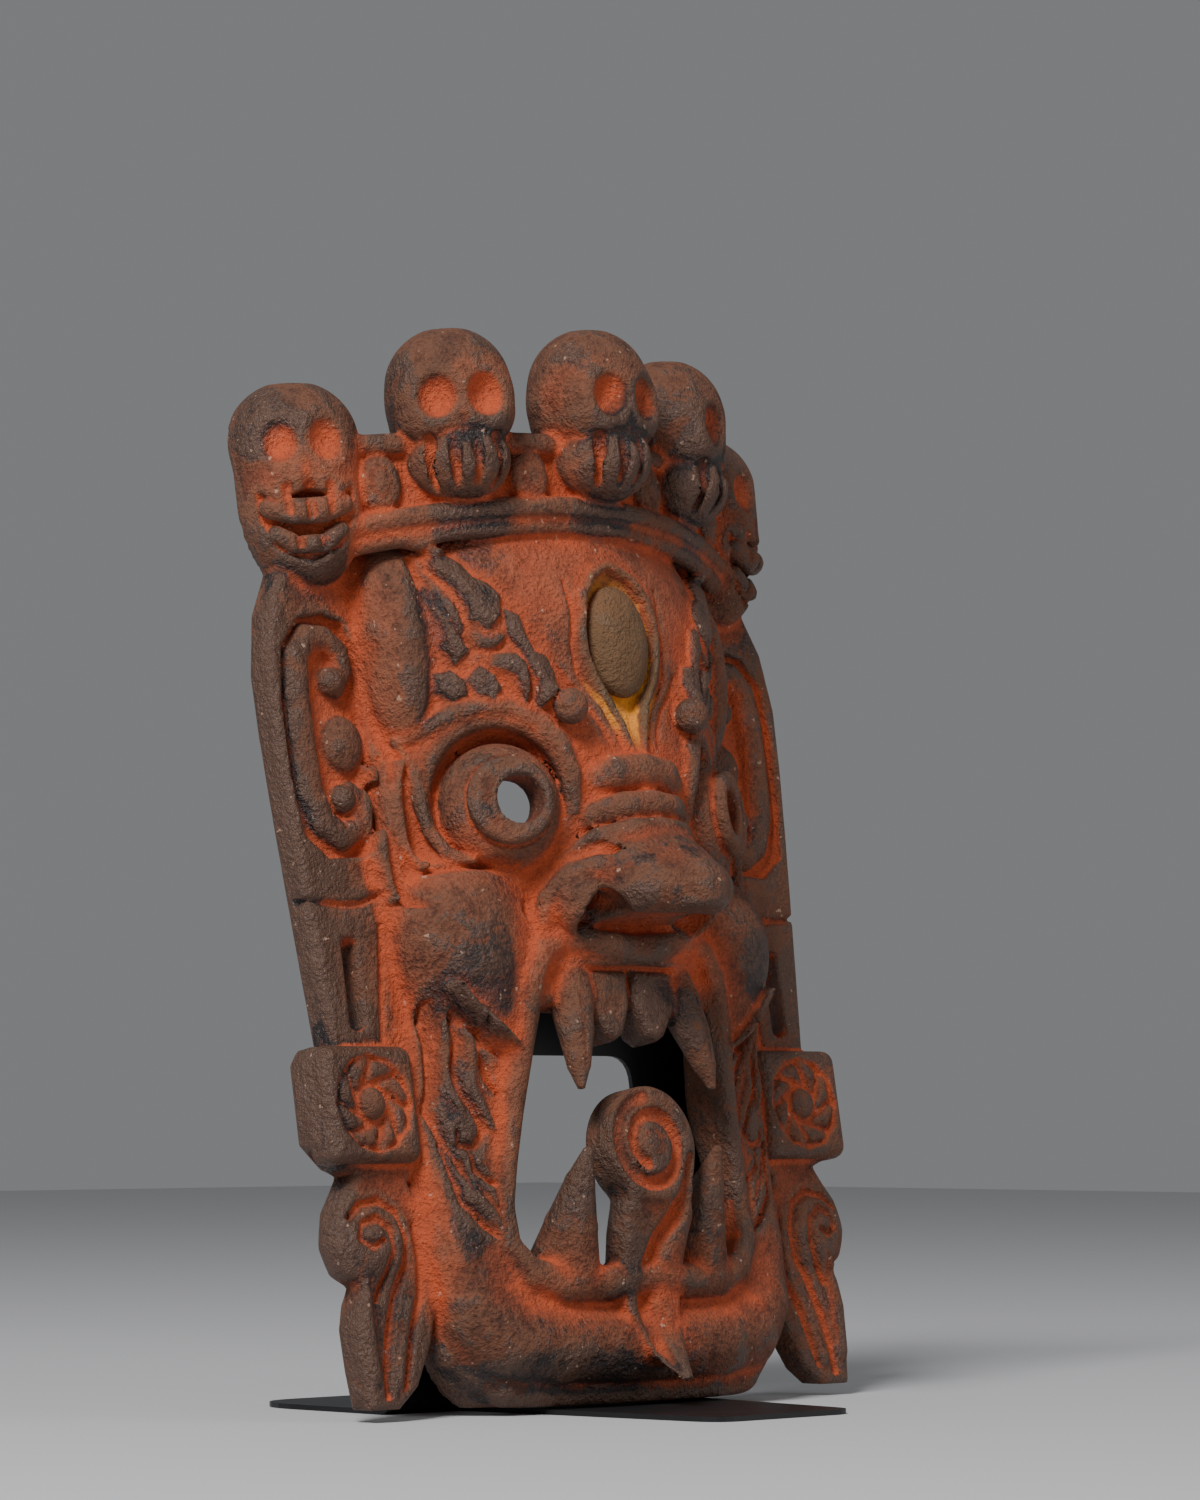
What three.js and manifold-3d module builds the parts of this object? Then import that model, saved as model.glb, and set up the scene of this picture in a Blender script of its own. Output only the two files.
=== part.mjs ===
// A carved and painted wooden mask of a fierce deity, held up by a bent steel stand.
// Millimetres, +Z up, the face looks along -Y. The origin is on the floor, at the
// middle of the stand's bend line.
import * as THREE from 'three';
import Module from 'manifold-3d';
import { mergeVertices } from 'three/addons/utils/BufferGeometryUtils.js';

const wasm = await Module();
wasm.setup();

// Mask sizes
const maskHeight = 316; // along the mask's own upright, tassel tips to skull tops
const wallThickness = 11; // of the face, between the carving and the hollow
const plateThickness = 10; // of the ear plates, flower blocks and tassels
const eyeHoleRadius = 7.2;
const nostrilRadius = 3.6;
const slotWidth = 6;
const slotLength = 27;
const leanDegrees = 10; // the mask leans back against the stand

// Stand sizes, one blank of sheet steel
const sheetThickness = 1.5;
const standWidth = 140;
const standTopWidth = 112; // the upright narrows towards its top
const standHeight = 158;
const legWidth = 30;
const tongueLength = 90;
const windowSpare = 13; // how much longer the window is than the tongue cut from it
const tongueTaper = 11; // how much each side narrows from the bend to the tip
const flangeDepth = 62;
const bendRadius = 3; // of the inner face of the bend
const tongueCornerRadius = 9;
const flangeCornerRadius = 20;
const standCornerRadius = 12;

// How the mask sits on the stand
const pocketClearance = 1.5; // between the upright and the hollow
const tasselClearance = 3.5; // the tassel tips hang this far over the floor
const chinClearance = 0.8; // between the chin and the tongue of the stand
const tipsAheadOfBend = 24.7; // from the bend line forward to the plane of the ear plates

// The carving is drawn in units of its own: a mask that is 316 units high.
// x runs across from the middle, y up along the mask, z out towards the viewer,
// with z = 0 on the front of the ear plates.
const CARVING_HEIGHT = 316;
const unit = maskHeight / CARVING_HEIGHT;
const wall = wallThickness / unit;
const plate = plateThickness / unit;
const lean = THREE.MathUtils.degToRad(leanDegrees);
const tasselTipY = -4;
const tasselInnerX = 71; // the chin lies inside this, the tassels outside

// Soft joins and cuts of distances
const softMin = (a, b, k) => {
  const overlap = Math.max(k - Math.abs(a - b), 0) / k;
  return Math.min(a, b) - overlap * overlap * k * 0.25;
};
const softMax = (a, b, k) => -softMin(-a, -b, k);
const clamp = (value, low, high) => Math.min(high, Math.max(low, value));
const mix = (a, b, t) => a + (b - a) * t;

// Each form is a signed distance with the box that holds it
const form = (distance, low, high) => ({ distance, low, high });

function ellipsoid([cx, cy, cz], [rx, ry, rz]) {
  const distance = (x, y, z) => {
    const [px, py, pz] = [(x - cx) / rx, (y - cy) / ry, (z - cz) / rz];
    const size = Math.hypot(px, py, pz);
    const slope = Math.hypot(px / rx, py / ry, pz / rz);
    return slope < 1e-6 ? -Math.min(rx, ry, rz) : size * (size - 1) / slope;
  };
  return form(distance, [cx - rx, cy - ry, cz - rz], [cx + rx, cy + ry, cz + rz]);
}

function roundedBox([cx, cy, cz], [hx, hy, hz], radius) {
  const distance = (x, y, z) => {
    const qx = Math.abs(x - cx) - hx + radius;
    const qy = Math.abs(y - cy) - hy + radius;
    const qz = Math.abs(z - cz) - hz + radius;
    const outside = Math.hypot(Math.max(qx, 0), Math.max(qy, 0), Math.max(qz, 0));
    return outside + Math.min(Math.max(qx, qy, qz), 0) - radius;
  };
  return form(distance, [cx - hx, cy - hy, cz - hz], [cx + hx, cy + hy, cz + hz]);
}

// A strand follows points [x, y, z, radius] and tapers from each to the next
function strand(points) {
  const low = [0, 1, 2].map((axis) => Math.min(...points.map((p) => p[axis] - p[3])));
  const high = [0, 1, 2].map((axis) => Math.max(...points.map((p) => p[axis] + p[3])));
  const distance = (x, y, z) => {
    let nearest = Infinity;
    for (let i = 1; i < points.length; i += 1) {
      const [ax, ay, az, ar] = points[i - 1];
      const [bx, by, bz, br] = points[i];
      const [dx, dy, dz] = [bx - ax, by - ay, bz - az];
      const along = (x - ax) * dx + (y - ay) * dy + (z - az) * dz;
      const t = clamp(along / (dx * dx + dy * dy + dz * dz), 0, 1);
      const gap = Math.hypot(x - ax - dx * t, y - ay - dy * t, z - az - dz * t);
      nearest = Math.min(nearest, gap - mix(ar, br, t));
    }
    return nearest;
  };
  return form(distance, low, high);
}

// A slab lies in the x-y plane: an outline's own distance, kept between two depths
function slab(outline, [lowX, lowY], [highX, highY], back, front, rounding) {
  const middle = (front + back) / 2;
  const half = (front - back) / 2;
  const distance = (x, y, z) => {
    const across = outline(x, y) + rounding;
    const through = Math.abs(z - middle) - half + rounding;
    const outside = Math.hypot(Math.max(across, 0), Math.max(through, 0));
    return outside + Math.min(Math.max(across, through), 0) - rounding;
  };
  return form(distance, [lowX, lowY, back], [highX, highY, front]);
}

// The distance to a closed outline of points in the x-y plane
function polygon(points) {
  return (x, y) => {
    let nearest = Infinity;
    let inside = false;
    for (let i = 0, j = points.length - 1; i < points.length; j = i, i += 1) {
      const [ax, ay] = points[j];
      const [bx, by] = points[i];
      const [dx, dy] = [bx - ax, by - ay];
      const t = clamp(((x - ax) * dx + (y - ay) * dy) / (dx * dx + dy * dy), 0, 1);
      nearest = Math.min(nearest, Math.hypot(x - ax - dx * t, y - ay - dy * t));
      if ((ay > y) !== (by > y) && x < ax + dx * ((y - ay) / dy)) inside = !inside;
    }
    return inside ? -nearest : nearest;
  };
}

// A path of points [x, y, half width] gives a share: 1 along it, falling to 0 at its edges
function closeness(path) {
  const share = (x, y) => {
    let best = 0;
    for (let i = 1; i < path.length; i += 1) {
      const [ax, ay, startWidth] = path[i - 1];
      const [bx, by, endWidth] = path[i];
      const [dx, dy] = [bx - ax, by - ay];
      const t = clamp(((x - ax) * dx + (y - ay) * dy) / (dx * dx + dy * dy), 0, 1);
      best = Math.max(best, 1 - Math.hypot(x - ax - dx * t, y - ay - dy * t) / mix(startWidth, endWidth, t));
    }
    return best * best * (3 - 2 * best);
  };
  const reach = Math.max(...path.map((point) => point[2]));
  const low = [0, 1].map((axis) => Math.min(...path.map((point) => point[axis])) - reach);
  const high = [0, 1].map((axis) => Math.max(...path.map((point) => point[axis])) + reach);
  return { share, low, high };
}

// A carving is a list of steps. They add wood, cut it away, or work relief into its
// front: relief raises the surface by height(x, y), or sinks it where that is below zero.
const reliefReach = [-6, 90];
const add = (shape, soft = 2) => ({ kind: 'add', shape, soft });
const cut = (shape, soft = 1.5) => ({ kind: 'cut', shape, soft });

function relief(height, low, high) {
  return { kind: 'relief', shape: form(height, [...low, reliefReach[0]], [...high, reliefReach[1]]), soft: 0 };
}

function ridge(path, height) {
  const { share, low, high } = closeness(path);
  return relief((x, y) => height * share(x, y), low, high);
}

const groove = (path, depth) => ridge(path, -depth);
const REACH = 6;

function boxGap(shape, x, y, z) {
  const gx = Math.max(shape.low[0] - x, x - shape.high[0], 0);
  const gy = Math.max(shape.low[1] - y, y - shape.high[1], 0);
  const gz = Math.max(shape.low[2] - z, z - shape.high[2], 0);
  return Math.hypot(gx, gy, gz);
}

function carve(steps, x, y, z) {
  let distance = 1e3;
  for (const { kind, shape, soft } of steps) {
    const gap = boxGap(shape, x, y, z);
    if (kind === 'relief') {
      if (gap === 0) distance -= shape.distance(x, y);
    } else if (gap > soft + REACH) {
      if (kind === 'add') distance = Math.min(distance, gap);
    } else if (kind === 'cut') {
      distance = softMax(distance, -shape.distance(x, y, z), soft);
    } else {
      distance = softMin(distance, shape.distance(x, y, z), soft);
    }
  }
  return distance;
}

// A group is a small carving of its own, turned about its upright and set in place
function group(steps, [cx, cy, cz], turnDegrees, reach) {
  const turn = THREE.MathUtils.degToRad(turnDegrees);
  const [cosine, sine] = [Math.cos(turn), Math.sin(turn)];
  const distance = (x, y, z) => {
    const [dx, dz] = [x - cx, z - cz];
    return carve(steps, dx * cosine - dz * sine, y - cy, dx * sine + dz * cosine);
  };
  return form(distance, [cx - reach, cy - reach, cz - reach], [cx + reach, cy + reach, cz + reach]);
}

// The crown carries five skulls between two ledges
const crownTopY = 275;
const crownLowY = 254;
const crownFrontZ = 35;
const crownBend = 0.0042; // how fast the crown falls back towards the sides
const crownEndX = 88;
const crownZ = (x) => crownFrontZ - crownBend * x * x;
const lowLedgeY = (x) => crownLowY - 0.0009 * x * x;

function crownWall() {
  const distance = (x, y, z) => {
    const depth = Math.abs(z - crownZ(x) + 9) - 7;
    const lower = lowLedgeY(x) - y;
    return Math.max(depth, lower, y - crownTopY, x - crownEndX) * 0.85;
  };
  return form(distance, [0, 236, -30], [crownEndX, crownTopY, crownFrontZ]);
}

function ledge(heightAt, proud, radius) {
  const points = [];
  for (let x = 0; x <= crownEndX; x += 11) {
    points.push([x, heightAt(x), crownZ(x) + proud, radius]);
  }
  return strand(points);
}

function medallion(x) {
  const turn = THREE.MathUtils.radToDeg(Math.atan(2 * crownBend * x));
  const steps = [
    add(ellipsoid([0, 0, 0], [6.5, 9, 4])),
    cut(ellipsoid([0, 0, 5.5], [4.6, 6.6, 3.2]), 0.6),
  ];
  return group(steps, [x, (crownTopY + lowLedgeY(x)) / 2, crownZ(x) - 1], turn, 10);
}

function crown() {
  return [
    add(crownWall(), 3),
    add(ledge(() => crownTopY - 1, -0.5, 3.2), 1.5),
    add(ledge((x) => lowLedgeY(x) + 1, -0.5, 3.4), 1.5),
    add(ledge((x) => lowLedgeY(x) - 4, -2.5, 3), 1.5),
    add(medallion(25), 1),
    add(medallion(69), 1),
  ];
}

const sockets = (y, z) => [-1, 1].map((side) => cut(ellipsoid([side * 8, y, z + 3.5], [6, 7, 6.5]), 1.2));

// A skull faces z, about the middle of its cranium. A plain one has its teeth in a
// block of their own below.
function plainSkull() {
  const jawLine = [[-17, -16, 9, 2], [-9, -18.5, 16, 2], [0, -15, 18.5, 2], [9, -18.5, 16, 2], [17, -16, 9, 2]];
  const steps = [
    add(ellipsoid([0, 1, 0], [18.6, 17.8, 17.8])),
    add(roundedBox([0, -7, 1], [17.6, 12.5, 16.3], 11), 4),
    cut(ellipsoid([-1, 18.8, 3], [6.5, 4, 5.5]), 1),
    add(ellipsoid([0, -22, 1.5], [15.6, 12.5, 14.8]), 0.6),
    cut(strand(jawLine), 0.8),
    cut(strand([[0, -18, 18, 3.4], [0, -10.5, 18.5, 1]]), 1.5),
    ...sockets(-6, 16),
  ];
  for (const side of [-1, 1]) {
    steps.push(cut(strand([[side * 6, -19, 16.5, 2.8], [side * 4.5, -34, 10, 1.8]]), 0.8));
  }
  return steps;
}

// A grinning skull is longer, and its open mouth shows two rows of teeth
function grinningSkull() {
  const smile = polygon([
    [-14, -14], [-9, -18], [0, -15], [9, -18], [14, -14], [14.5, -23], [10, -32], [0, -36.5], [-10, -32], [-14.5, -23],
  ]);
  const upperTeeth = [[-10.5, -19.5, 11.5, 3.6], [-4, -22, 14.8, 4], [4, -22, 14.8, 4], [10.5, -19.5, 11.5, 3.6]];
  const lowerTeeth = [[-9.5, -26.5, 11.5, 2.6], [-4, -30.5, 13, 3], [4, -30.5, 13, 3], [9.5, -26.5, 11.5, 2.6]];
  return [
    add(ellipsoid([0, 2, 0], [19.5, 18.5, 17.8])),
    add(ellipsoid([0, -16, -2], [19, 26, 19]), 6),
    cut(ellipsoid([-1, 19.3, 3], [6.5, 4, 5.5]), 1),
    cut(slab(smile, [-15, -37], [15, -14], 10, 24, 2), 1.2),
    add(strand(upperTeeth), 1),
    add(strand(lowerTeeth), 1),
    cut(strand([[0, -14, 18.5, 2.6], [0, -9, 18, 0.9]]), 1.2),
    ...sockets(-1, 16.5),
  ];
}

function skulls() {
  const plain = plainSkull();
  const grinning = grinningSkull();
  return [
    add(group(plain, [0, 291, 37], 0, 43), 1.5),
    add(group(plain, [46.5, 290, 24.5], 32, 43), 1.5),
    add(group(grinning, [86.5, 275, -2], 32, 48), 1.5),
  ];
}

// The face's main masses, without the crown
function faceMasses() {
  const beardRoot = [[58, 106, 1, 10], [59, 90, -1, 11], [60, 75, -2, 11.5], [60, 60, -3, 11], [58, 46, -2, 10]];
  return [
    add(ellipsoid([0, 222, -20], [76, 58, 58])),
    add(ellipsoid([0, 180, -22], [73, 70, 59]), 10),
    add(ellipsoid([0, 112, -20], [68, 60, 47]), 10),
    add(roundedBox([0, 58, -16], [71, 64, 27], 24), 10),
    add(ellipsoid([53, 128, 4], [20, 24, 20]), 11),
    add(ellipsoid([48, 108, 7], [13, 15, 12]), 6),
    add(ellipsoid([71, 162, -4], [8, 30, 9]), 5),
    add(strand(beardRoot), 5),
  ];
}

function temple() {
  return [
    add(ellipsoid([63.5, 216, 3], [9.5, 30, 13]), 4),
    groove([[60, 238, 2.6], [57, 227, 3.4], [51, 213, 2.6]], 2.2),
  ];
}

function jaw() {
  const band = [
    [69, 96, -8, 9], [65, 76, -6, 9], [64, 60, -4, 9], [64, 40, -1, 9], [60, 22, 2, 9], [50, 13, 4.5, 9.5],
    [33, 10, 6.5, 10], [0, 9, 9, 10],
  ];
  return [
    add(strand(band), 6),
    add(strand([[64, 12, -4, 6], [50, 1, 0, 6], [30, -2, 2, 6], [0, -3, 4, 6]]), 1),
  ];
}

function mouthRim() {
  const half = [
    [0, 123.5, 25, 5.4], [19, 127, 23.5, 5], [27, 127, 21.5, 4.6], [33.5, 124, 20.5, 4.8], [37.8, 117, 19.5, 4.8],
    [42.7, 92, 14.5, 4.7], [45, 78, 12, 4.2], [49.5, 50, 8, 4], [49, 40, 8, 4.8], [43, 32, 9, 5.8], [32, 28, 11, 5.8],
    [0, 29, 14, 5.6],
  ];
  return [add(strand(half), 1.5)];
}

function beard() {
  return [
    ridge([[66, 115, 3], [54, 103.5, 4], [45, 97.5, 3]], 2),
    groove([[64, 100, 2.6], [60, 85, 3.4], [57, 73, 3.2], [60, 64, 2.6]], 1.6),
  ];
}

// Ear plates, flower blocks and tassels are one flat board with shaped edges
const boardOutline = [
  [64, 250], [86, 250], [97, 240], [104, 226], [107, 208], [106.5, 190], [105, 168], [103, 144], [101, 121],
  [99, 99], [106, 99], [109, 95], [109, 72], [102, 65], [97, 63], [99, 60], [104, 53], [106, 43], [103, 35],
  [97, 32], [100, 27], [102, 20], [101.5, 8], [100, tasselTipY], [89, tasselTipY], [81, 2], [74, 14], [70, 27],
  [70, 44], [72, 53], [76, 60], [71, 66], [71, 98], [64, 120],
];

const board = () => slab(polygon(boardOutline), [60, tasselTipY], [110, 251], -plate, 0, 2.5);

const recessFloor = -3.6; // of the ear plates

function earPlate() {
  const recess = polygon([
    [72, 199], [72.5, 216], [76.5, 224], [84, 226], [94, 224], [101.5, 215], [103.5, 199], [103, 176], [100.5, 160],
    [92, 153.5], [76, 154.5], [73, 162],
  ]);
  const scroll = [
    [80.5, 205, 3.6], [76.6, 210, 3.2], [82, 220, 3.4], [90, 220, 3.8], [95.4, 214, 4.2], [96.6, 202, 4.6],
    [96.4, 187, 4.6], [95.6, 173, 4.6], [92, 163.8, 4.3], [85, 159.6, 4], [78.4, 162.4, 3.6], [76, 169, 3.2], [79, 174, 3],
  ];
  const slotHalf = [slotWidth / unit / 2, slotLength / unit / 2, 20];
  return [
    cut(slab(recess, [72, 153.5], [103.5, 226], recessFloor, 10, 1.5), 1),
    add(strand(scroll.map(([x, y, radius]) => [x, y, recessFloor + 0.2, radius])), 0.8),
    add(ellipsoid([82, 206, recessFloor + 1], [4.8, 4.8, 4.6]), 0.6),
    add(ellipsoid([83.6, 171, recessFloor + 1], [4.8, 4.8, 4.8]), 0.6),
    add(ellipsoid([80, 188, recessFloor], [8, 8.6, 4.6]), 1.5),
    groove([[75, 142, 2.4], [88, 140, 2.8], [102, 141, 2.4]], 1.8),
    cut(roundedBox([88.7, 117, -4], slotHalf, slotHalf[0] * 0.8), 0.8),
  ];
}

function flower() {
  const [x, y] = [90.5, 82];
  const ring = [];
  for (let i = 0; i < 12; i += 1) {
    const angle = i * Math.PI / 6;
    ring.push([x + 14.4 * Math.cos(angle), y + 14.2 * Math.sin(angle)]);
  }
  const steps = [
    add(roundedBox([x, y, -1], [17.6, 16.8, 6], 4), 1),
    cut(slab(polygon(ring), [x - 14.4, y - 14.2], [x + 14.4, y + 14.2], 2.6, 9, 1.5), 1),
    add(ellipsoid([x, y, 2.6], [4.8, 4.8, 3.6]), 0.6),
  ];
  for (let petal = 0; petal < 8; petal += 1) {
    const angle = petal * Math.PI / 4;
    const swirl = [[7.6, 0, 1.6], [10.2, 0.28, 2.7], [12.2, 0.62, 2.2]].map(([radius, bend, thick]) => (
      [x + radius * Math.cos(angle + bend), y + radius * Math.sin(angle + bend), 2.4, thick]
    ));
    steps.push(add(strand(swirl), 0.5));
  }
  return steps;
}

function tassel() {
  return [
    add(ellipsoid([92, 44, -4], [14, 13.5, 8]), 3),
    groove([[95, 40, 2.4], [99, 45, 2.8], [91, 50, 2.8], [87, 40, 2.6], [91, 24, 2.8], [95, 4, 2.4]], 2.2),
    groove([[79, 44, 2.4], [79, 28, 2.8], [87, 10, 2.4]], 2),
  ];
}

const eyeCentre = [39, 166, 16];
const eyeRadius = 18.6;
const eyeTurn = 29;
const eyeSocket = ellipsoid([45, 168, 23], [21, 21, 18]);
const socketWall = 5; // between a socket and the hollow

function eye() {
  const iris = (x, y, z) => {
    const around = Math.max(Math.abs(Math.hypot(x, y) - 9.7) - 1.2, 0);
    return Math.hypot(around, z - eyeRadius + 3.4) - 2.4;
  };
  const ball = [
    add(ellipsoid([0, 0, 0], [eyeRadius, eyeRadius + 1, eyeRadius])),
    add(form(iris, [-13, -13, 10], [13, 13, 22]), 0.8),
  ];
  const upperLid = [
    [66.5, 187.3, 6, 2.6], [60, 190, 11, 3], [53.5, 194, 16, 3.5], [46.5, 196, 21, 3.7], [38.5, 194.5, 26, 3.9],
    [32, 190, 30, 3.9], [27.8, 183, 33, 3.7], [25, 174, 34, 3.2], [23.5, 164, 32, 2.6],
  ];
  const lowerLid = [[65.5, 186, 5, 2.6], [62.6, 172, 8, 2.8], [58.5, 153.5, 12.5, 2.8], [52, 150, 16.5, 2.4]];
  return [
    cut(eyeSocket, 2.5),
    add(group(ball, eyeCentre, eyeTurn, 24), 1.5),
    add(strand(upperLid), 1.5),
    add(strand(lowerLid), 1.5),
  ];
}

// Through holes are drilled last. An eye hole opens like a funnel towards the back.
const eyeHoleTurn = 20;
const funnelStart = 7;
const funnelSlope = 0.7;

function eyeHole() {
  const turn = THREE.MathUtils.degToRad(eyeHoleTurn);
  const [c, s] = [Math.cos(turn), Math.sin(turn)];
  const [eyeX, eyeY, eyeZ] = eyeCentre;
  const distance = (x, y, z) => {
    const across = (x - eyeX) * c - (z - eyeZ) * s;
    const depth = (x - eyeX) * s + (z - eyeZ) * c;
    const radius = eyeHoleRadius / unit + Math.max(funnelStart - depth, 0) * funnelSlope;
    return Math.max(Math.hypot(across, y - eyeY) - radius, -depth - 20) * 0.85;
  };
  return form(distance, [10, 140, -14], [72, 192, 50]);
}

function brow() {
  const flame = polygon([
    [57.4, 242], [53.5, 242.5], [49.3, 238], [43.6, 231], [40.8, 227], [41, 221], [36, 220], [33.2, 210], [27.6, 204],
    [28.6, 196], [34, 192], [38, 196], [46, 205], [52, 213], [54, 222], [58, 230], [60, 236],
  ]);
  return [
    ridge([[58, 240, 7], [52, 226, 9], [44, 212, 10], [33, 200, 9], [26, 194, 6]], 2.2),
    relief((x, y) => 1.6 * clamp(0.5 - flame(x, y) / 4, 0, 1), [25, 190], [62, 245]),
    add(ellipsoid([25.6, 193, 38], [5.2, 5.4, 5]), 0.8),
  ];
}

function thirdEye() {
  const half = [[0, 237], [7, 233.5], [12, 227], [13.8, 218], [13.4, 210], [10.6, 203], [6.4, 196.5], [3.2, 189], [1.2, 180]];
  const outline = polygon([...half, ...half.slice(1).reverse().map(([x, y]) => [-x, y])]);
  return [
    ridge(half.map(([x, y]) => [x > 2 ? x + 2.2 : x, y, 3.6]), 1.6),
    relief((x, y) => -3.6 * clamp(0.5 - outline(x, y) / 3.4, 0, 1), [-16, 178], [16, 239]),
    add(ellipsoid([0, 214.5, 35.2], [11.8, 17, 6]), 0.5),
  ];
}

function nose() {
  const rolls = [
    [[0, 174.5, 38, 5.8], [10, 174, 36.5, 5.6], [18, 172.5, 31, 5], [24, 169, 22, 3]],
    [[0, 164, 40.5, 4.6], [10, 163.5, 39, 4.4], [18, 162, 33, 4], [24, 158, 24, 2.5]],
    [[0, 157, 43, 3], [10, 156.5, 41.5, 3], [19, 154.5, 35, 3], [26, 150, 27, 2]],
  ];
  const wing = [
    [32, 130, 20, 3.2], [31, 138, 24, 3.6], [27, 143.5, 30, 3.8], [21.5, 145.4, 35.5, 3.6], [16.5, 142.5, 40.5, 3.2], [13, 136, 44, 2.8],
  ];
  return [
    add(ellipsoid([0, 166, 22], [21, 34, 19]), 6),
    ...rolls.map((roll) => add(strand(roll), 0.8)),
    add(ellipsoid([0, 146, 34], [22, 11, 18]), 4),
    add(strand([[0, 148, 38, 9], [0, 142, 46, 10], [0, 136, 53, 10.5]]), 4),
    add(ellipsoid([9, 138, 40], [13, 10, 17]), 5),
    add(ellipsoid([23, 139, 25], [10, 12, 14]), 4),
    add(strand(wing), 1),
    cut(roundedBox([0, 117.5, 58], [60, 12.5, 24], 3), 1.5),
    cut(ellipsoid([21, 131.5, 34], [5.6, 8.2, 9]), 1.5),
  ];
}

const nostril = () => {
  const radius = nostrilRadius / unit;
  return strand([[17, 130, 40, radius], [19, 137, 30, radius], [20, 152, 12, radius], [20, 154, -30, radius]]);
};

function mouthOpening() {
  const half = [[33, 119], [35.5, 104], [38.3, 92], [41, 80], [44, 66], [46.5, 52], [46.3, 41], [42, 36], [36, 34.5], [16, 33]];
  const outline = polygon([...half.map(([x, y]) => [-x, y]), ...half.slice().reverse()]);
  return [
    cut(ellipsoid([0, 130, 36], [24, 2.5, 12]), 1.5),
    cut(slab(outline, [0, 30], [48, 120], -60, 60, 5), 1.5),
  ];
}

function teeth() {
  const upperFang = [[21, 118, 17, 7.5], [22.5, 110, 20, 6.6], [24.5, 100, 22.5, 5.4], [26.5, 90, 24, 3.6], [27.5, 83.5, 24.8, 1.6]];
  const lowerFang = [[27, 33, 8, 11], [27, 44, 13, 8], [27.2, 56, 19, 4.6], [27.3, 64.5, 24, 1.8]];
  const incisor = polygon([[0.8, 118], [20, 118], [20, 107], [9, 97], [2.5, 97.5], [0.8, 100]]);
  return [
    add(roundedBox([0, 115, 13], [36, 7, 8], 3), 2),
    add(slab(incisor, [0.8, 97], [20, 118], 11, 24.5, 1.6), 0.5),
    add(strand(upperFang), 0.8),
    add(strand(lowerFang), 1.2),
  ];
}

// The tongue turns up into a scroll. It is the one part that differs left and right.
function tongue() {
  const body = [
    [0, 66, 20, 6], [0, 53, 20, 6], [0, 42, 17, 6], [0, 26, 12.5, 5.5], [0, 15, 13, 5], [-0.5, 7, 18.5, 4],
    [-1, 2, 23, 3], [-1, -3, 26, 2.4],
  ];
  const widths = [[12, 66], [13, 53], [13.6, 42], [12.2, 26], [10.3, 15], [6.6, 7], [4.2, 2], [2.4, -3]];
  const widthAt = (y) => {
    for (let i = 1; i < widths.length; i += 1) {
      const [[upper, top], [lower, bottom]] = [widths[i - 1], widths[i]];
      if (y > bottom) return mix(lower, upper, clamp((y - bottom) / (top - bottom), 0, 1));
    }
    return widths[widths.length - 1][0];
  };
  const spine = strand(body);
  const broad = (x, y, z) => {
    const spare = Math.max(widthAt(y) - 5.5, 0);
    return spine.distance(Math.sign(x) * Math.max(Math.abs(x) - spare, 0), y, z) * 0.9;
  };
  const disc = (x, y) => Math.hypot(x + 0.5, y - 66.3) - 17.3;
  const coil = [];
  for (let i = 0; i <= 14; i += 1) {
    const share = i / 14;
    const angle = THREE.MathUtils.degToRad(98 + share * 1.38 * 360);
    const radius = 14.3 - 7.3 * share;
    coil.push([-2 + radius * Math.cos(angle), 66.3 + radius * Math.sin(angle), 26.6, 3 - 0.6 * share]);
  }
  const furrow = [[12, 58, 26.5, 1.6], [5.5, 44, 23.5, 2.4], [-2.5, 31, 19, 2.6], [-4, 21, 18, 2.6], [-4, 10, 21, 2.2], [-3, 3, 26, 1.4]];
  return [
    add(form(broad, [-16, -6, 4], [16, 72, 30])),
    add(slab(disc, [-18, 48], [18, 84], 12.5, 26.5, 3), 2),
    cut(strand(coil), 0.8),
    cut(strand(furrow), 0.8),
  ];
}

// The hollow behind follows the face's masses one wall thickness in, and stays clear
// of the eye sockets
function hollow() {
  const masses = faceMasses();
  const distance = (x, y, z) => {
    const inset = carve(masses, x, y, z) + wall;
    const clearOfSocket = socketWall - eyeSocket.distance(x, y, z);
    const side = x - 69 + Math.max(z, 0) * 0.35;
    return softMax(softMax(softMax(inset, clearOfSocket, 3), side, 6), softMax(14 - y, y - 238, 4), 6);
  };
  return form(distance, [-70, 12, -90], [70, 240, 40]);
}

// Behind the crown the back is cut hollow too, but the ear plates stay whole
const plateInnerX = 60;

function crownHollow() {
  const distance = (x, y, z) => {
    const plateKept = Math.min(x - plateInnerX, crownLowY - y);
    return Math.max(z - crownZ(x) + 16, lowLedgeY(x) - y - 30, plateKept) * 0.85;
  };
  return form(distance, [0, 200, -90], [140, 330, 20]);
}

// Heights over the floor and distances behind the bend line, both in carving units
const floorUp = (y, z) => y * Math.cos(lean) + z * Math.sin(lean);
const tipHeight = tasselClearance / unit - floorUp(tasselTipY, 0);
const heightOverFloor = (y, z) => tipHeight + floorUp(y, z);
const behindBend = (y, z) => y * Math.sin(lean) - z * Math.cos(lean) - tipsAheadOfBend / unit;

// The stand's upright has room in the hollow
function pocket() {
  const gap = pocketClearance / unit;
  const top = standHeight / unit;
  const distance = (x, y, z) => {
    const height = heightOverFloor(y, z);
    const half = mix(standWidth, standTopWidth, clamp(height / top, 0, 1)) / unit / 2;
    return Math.max(x - half - gap, height - top - gap, -gap - behindBend(y, z));
  };
  return form(distance, [0, -30, -60], [standWidth / unit / 2 + gap, top + 10, 10]);
}

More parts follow.
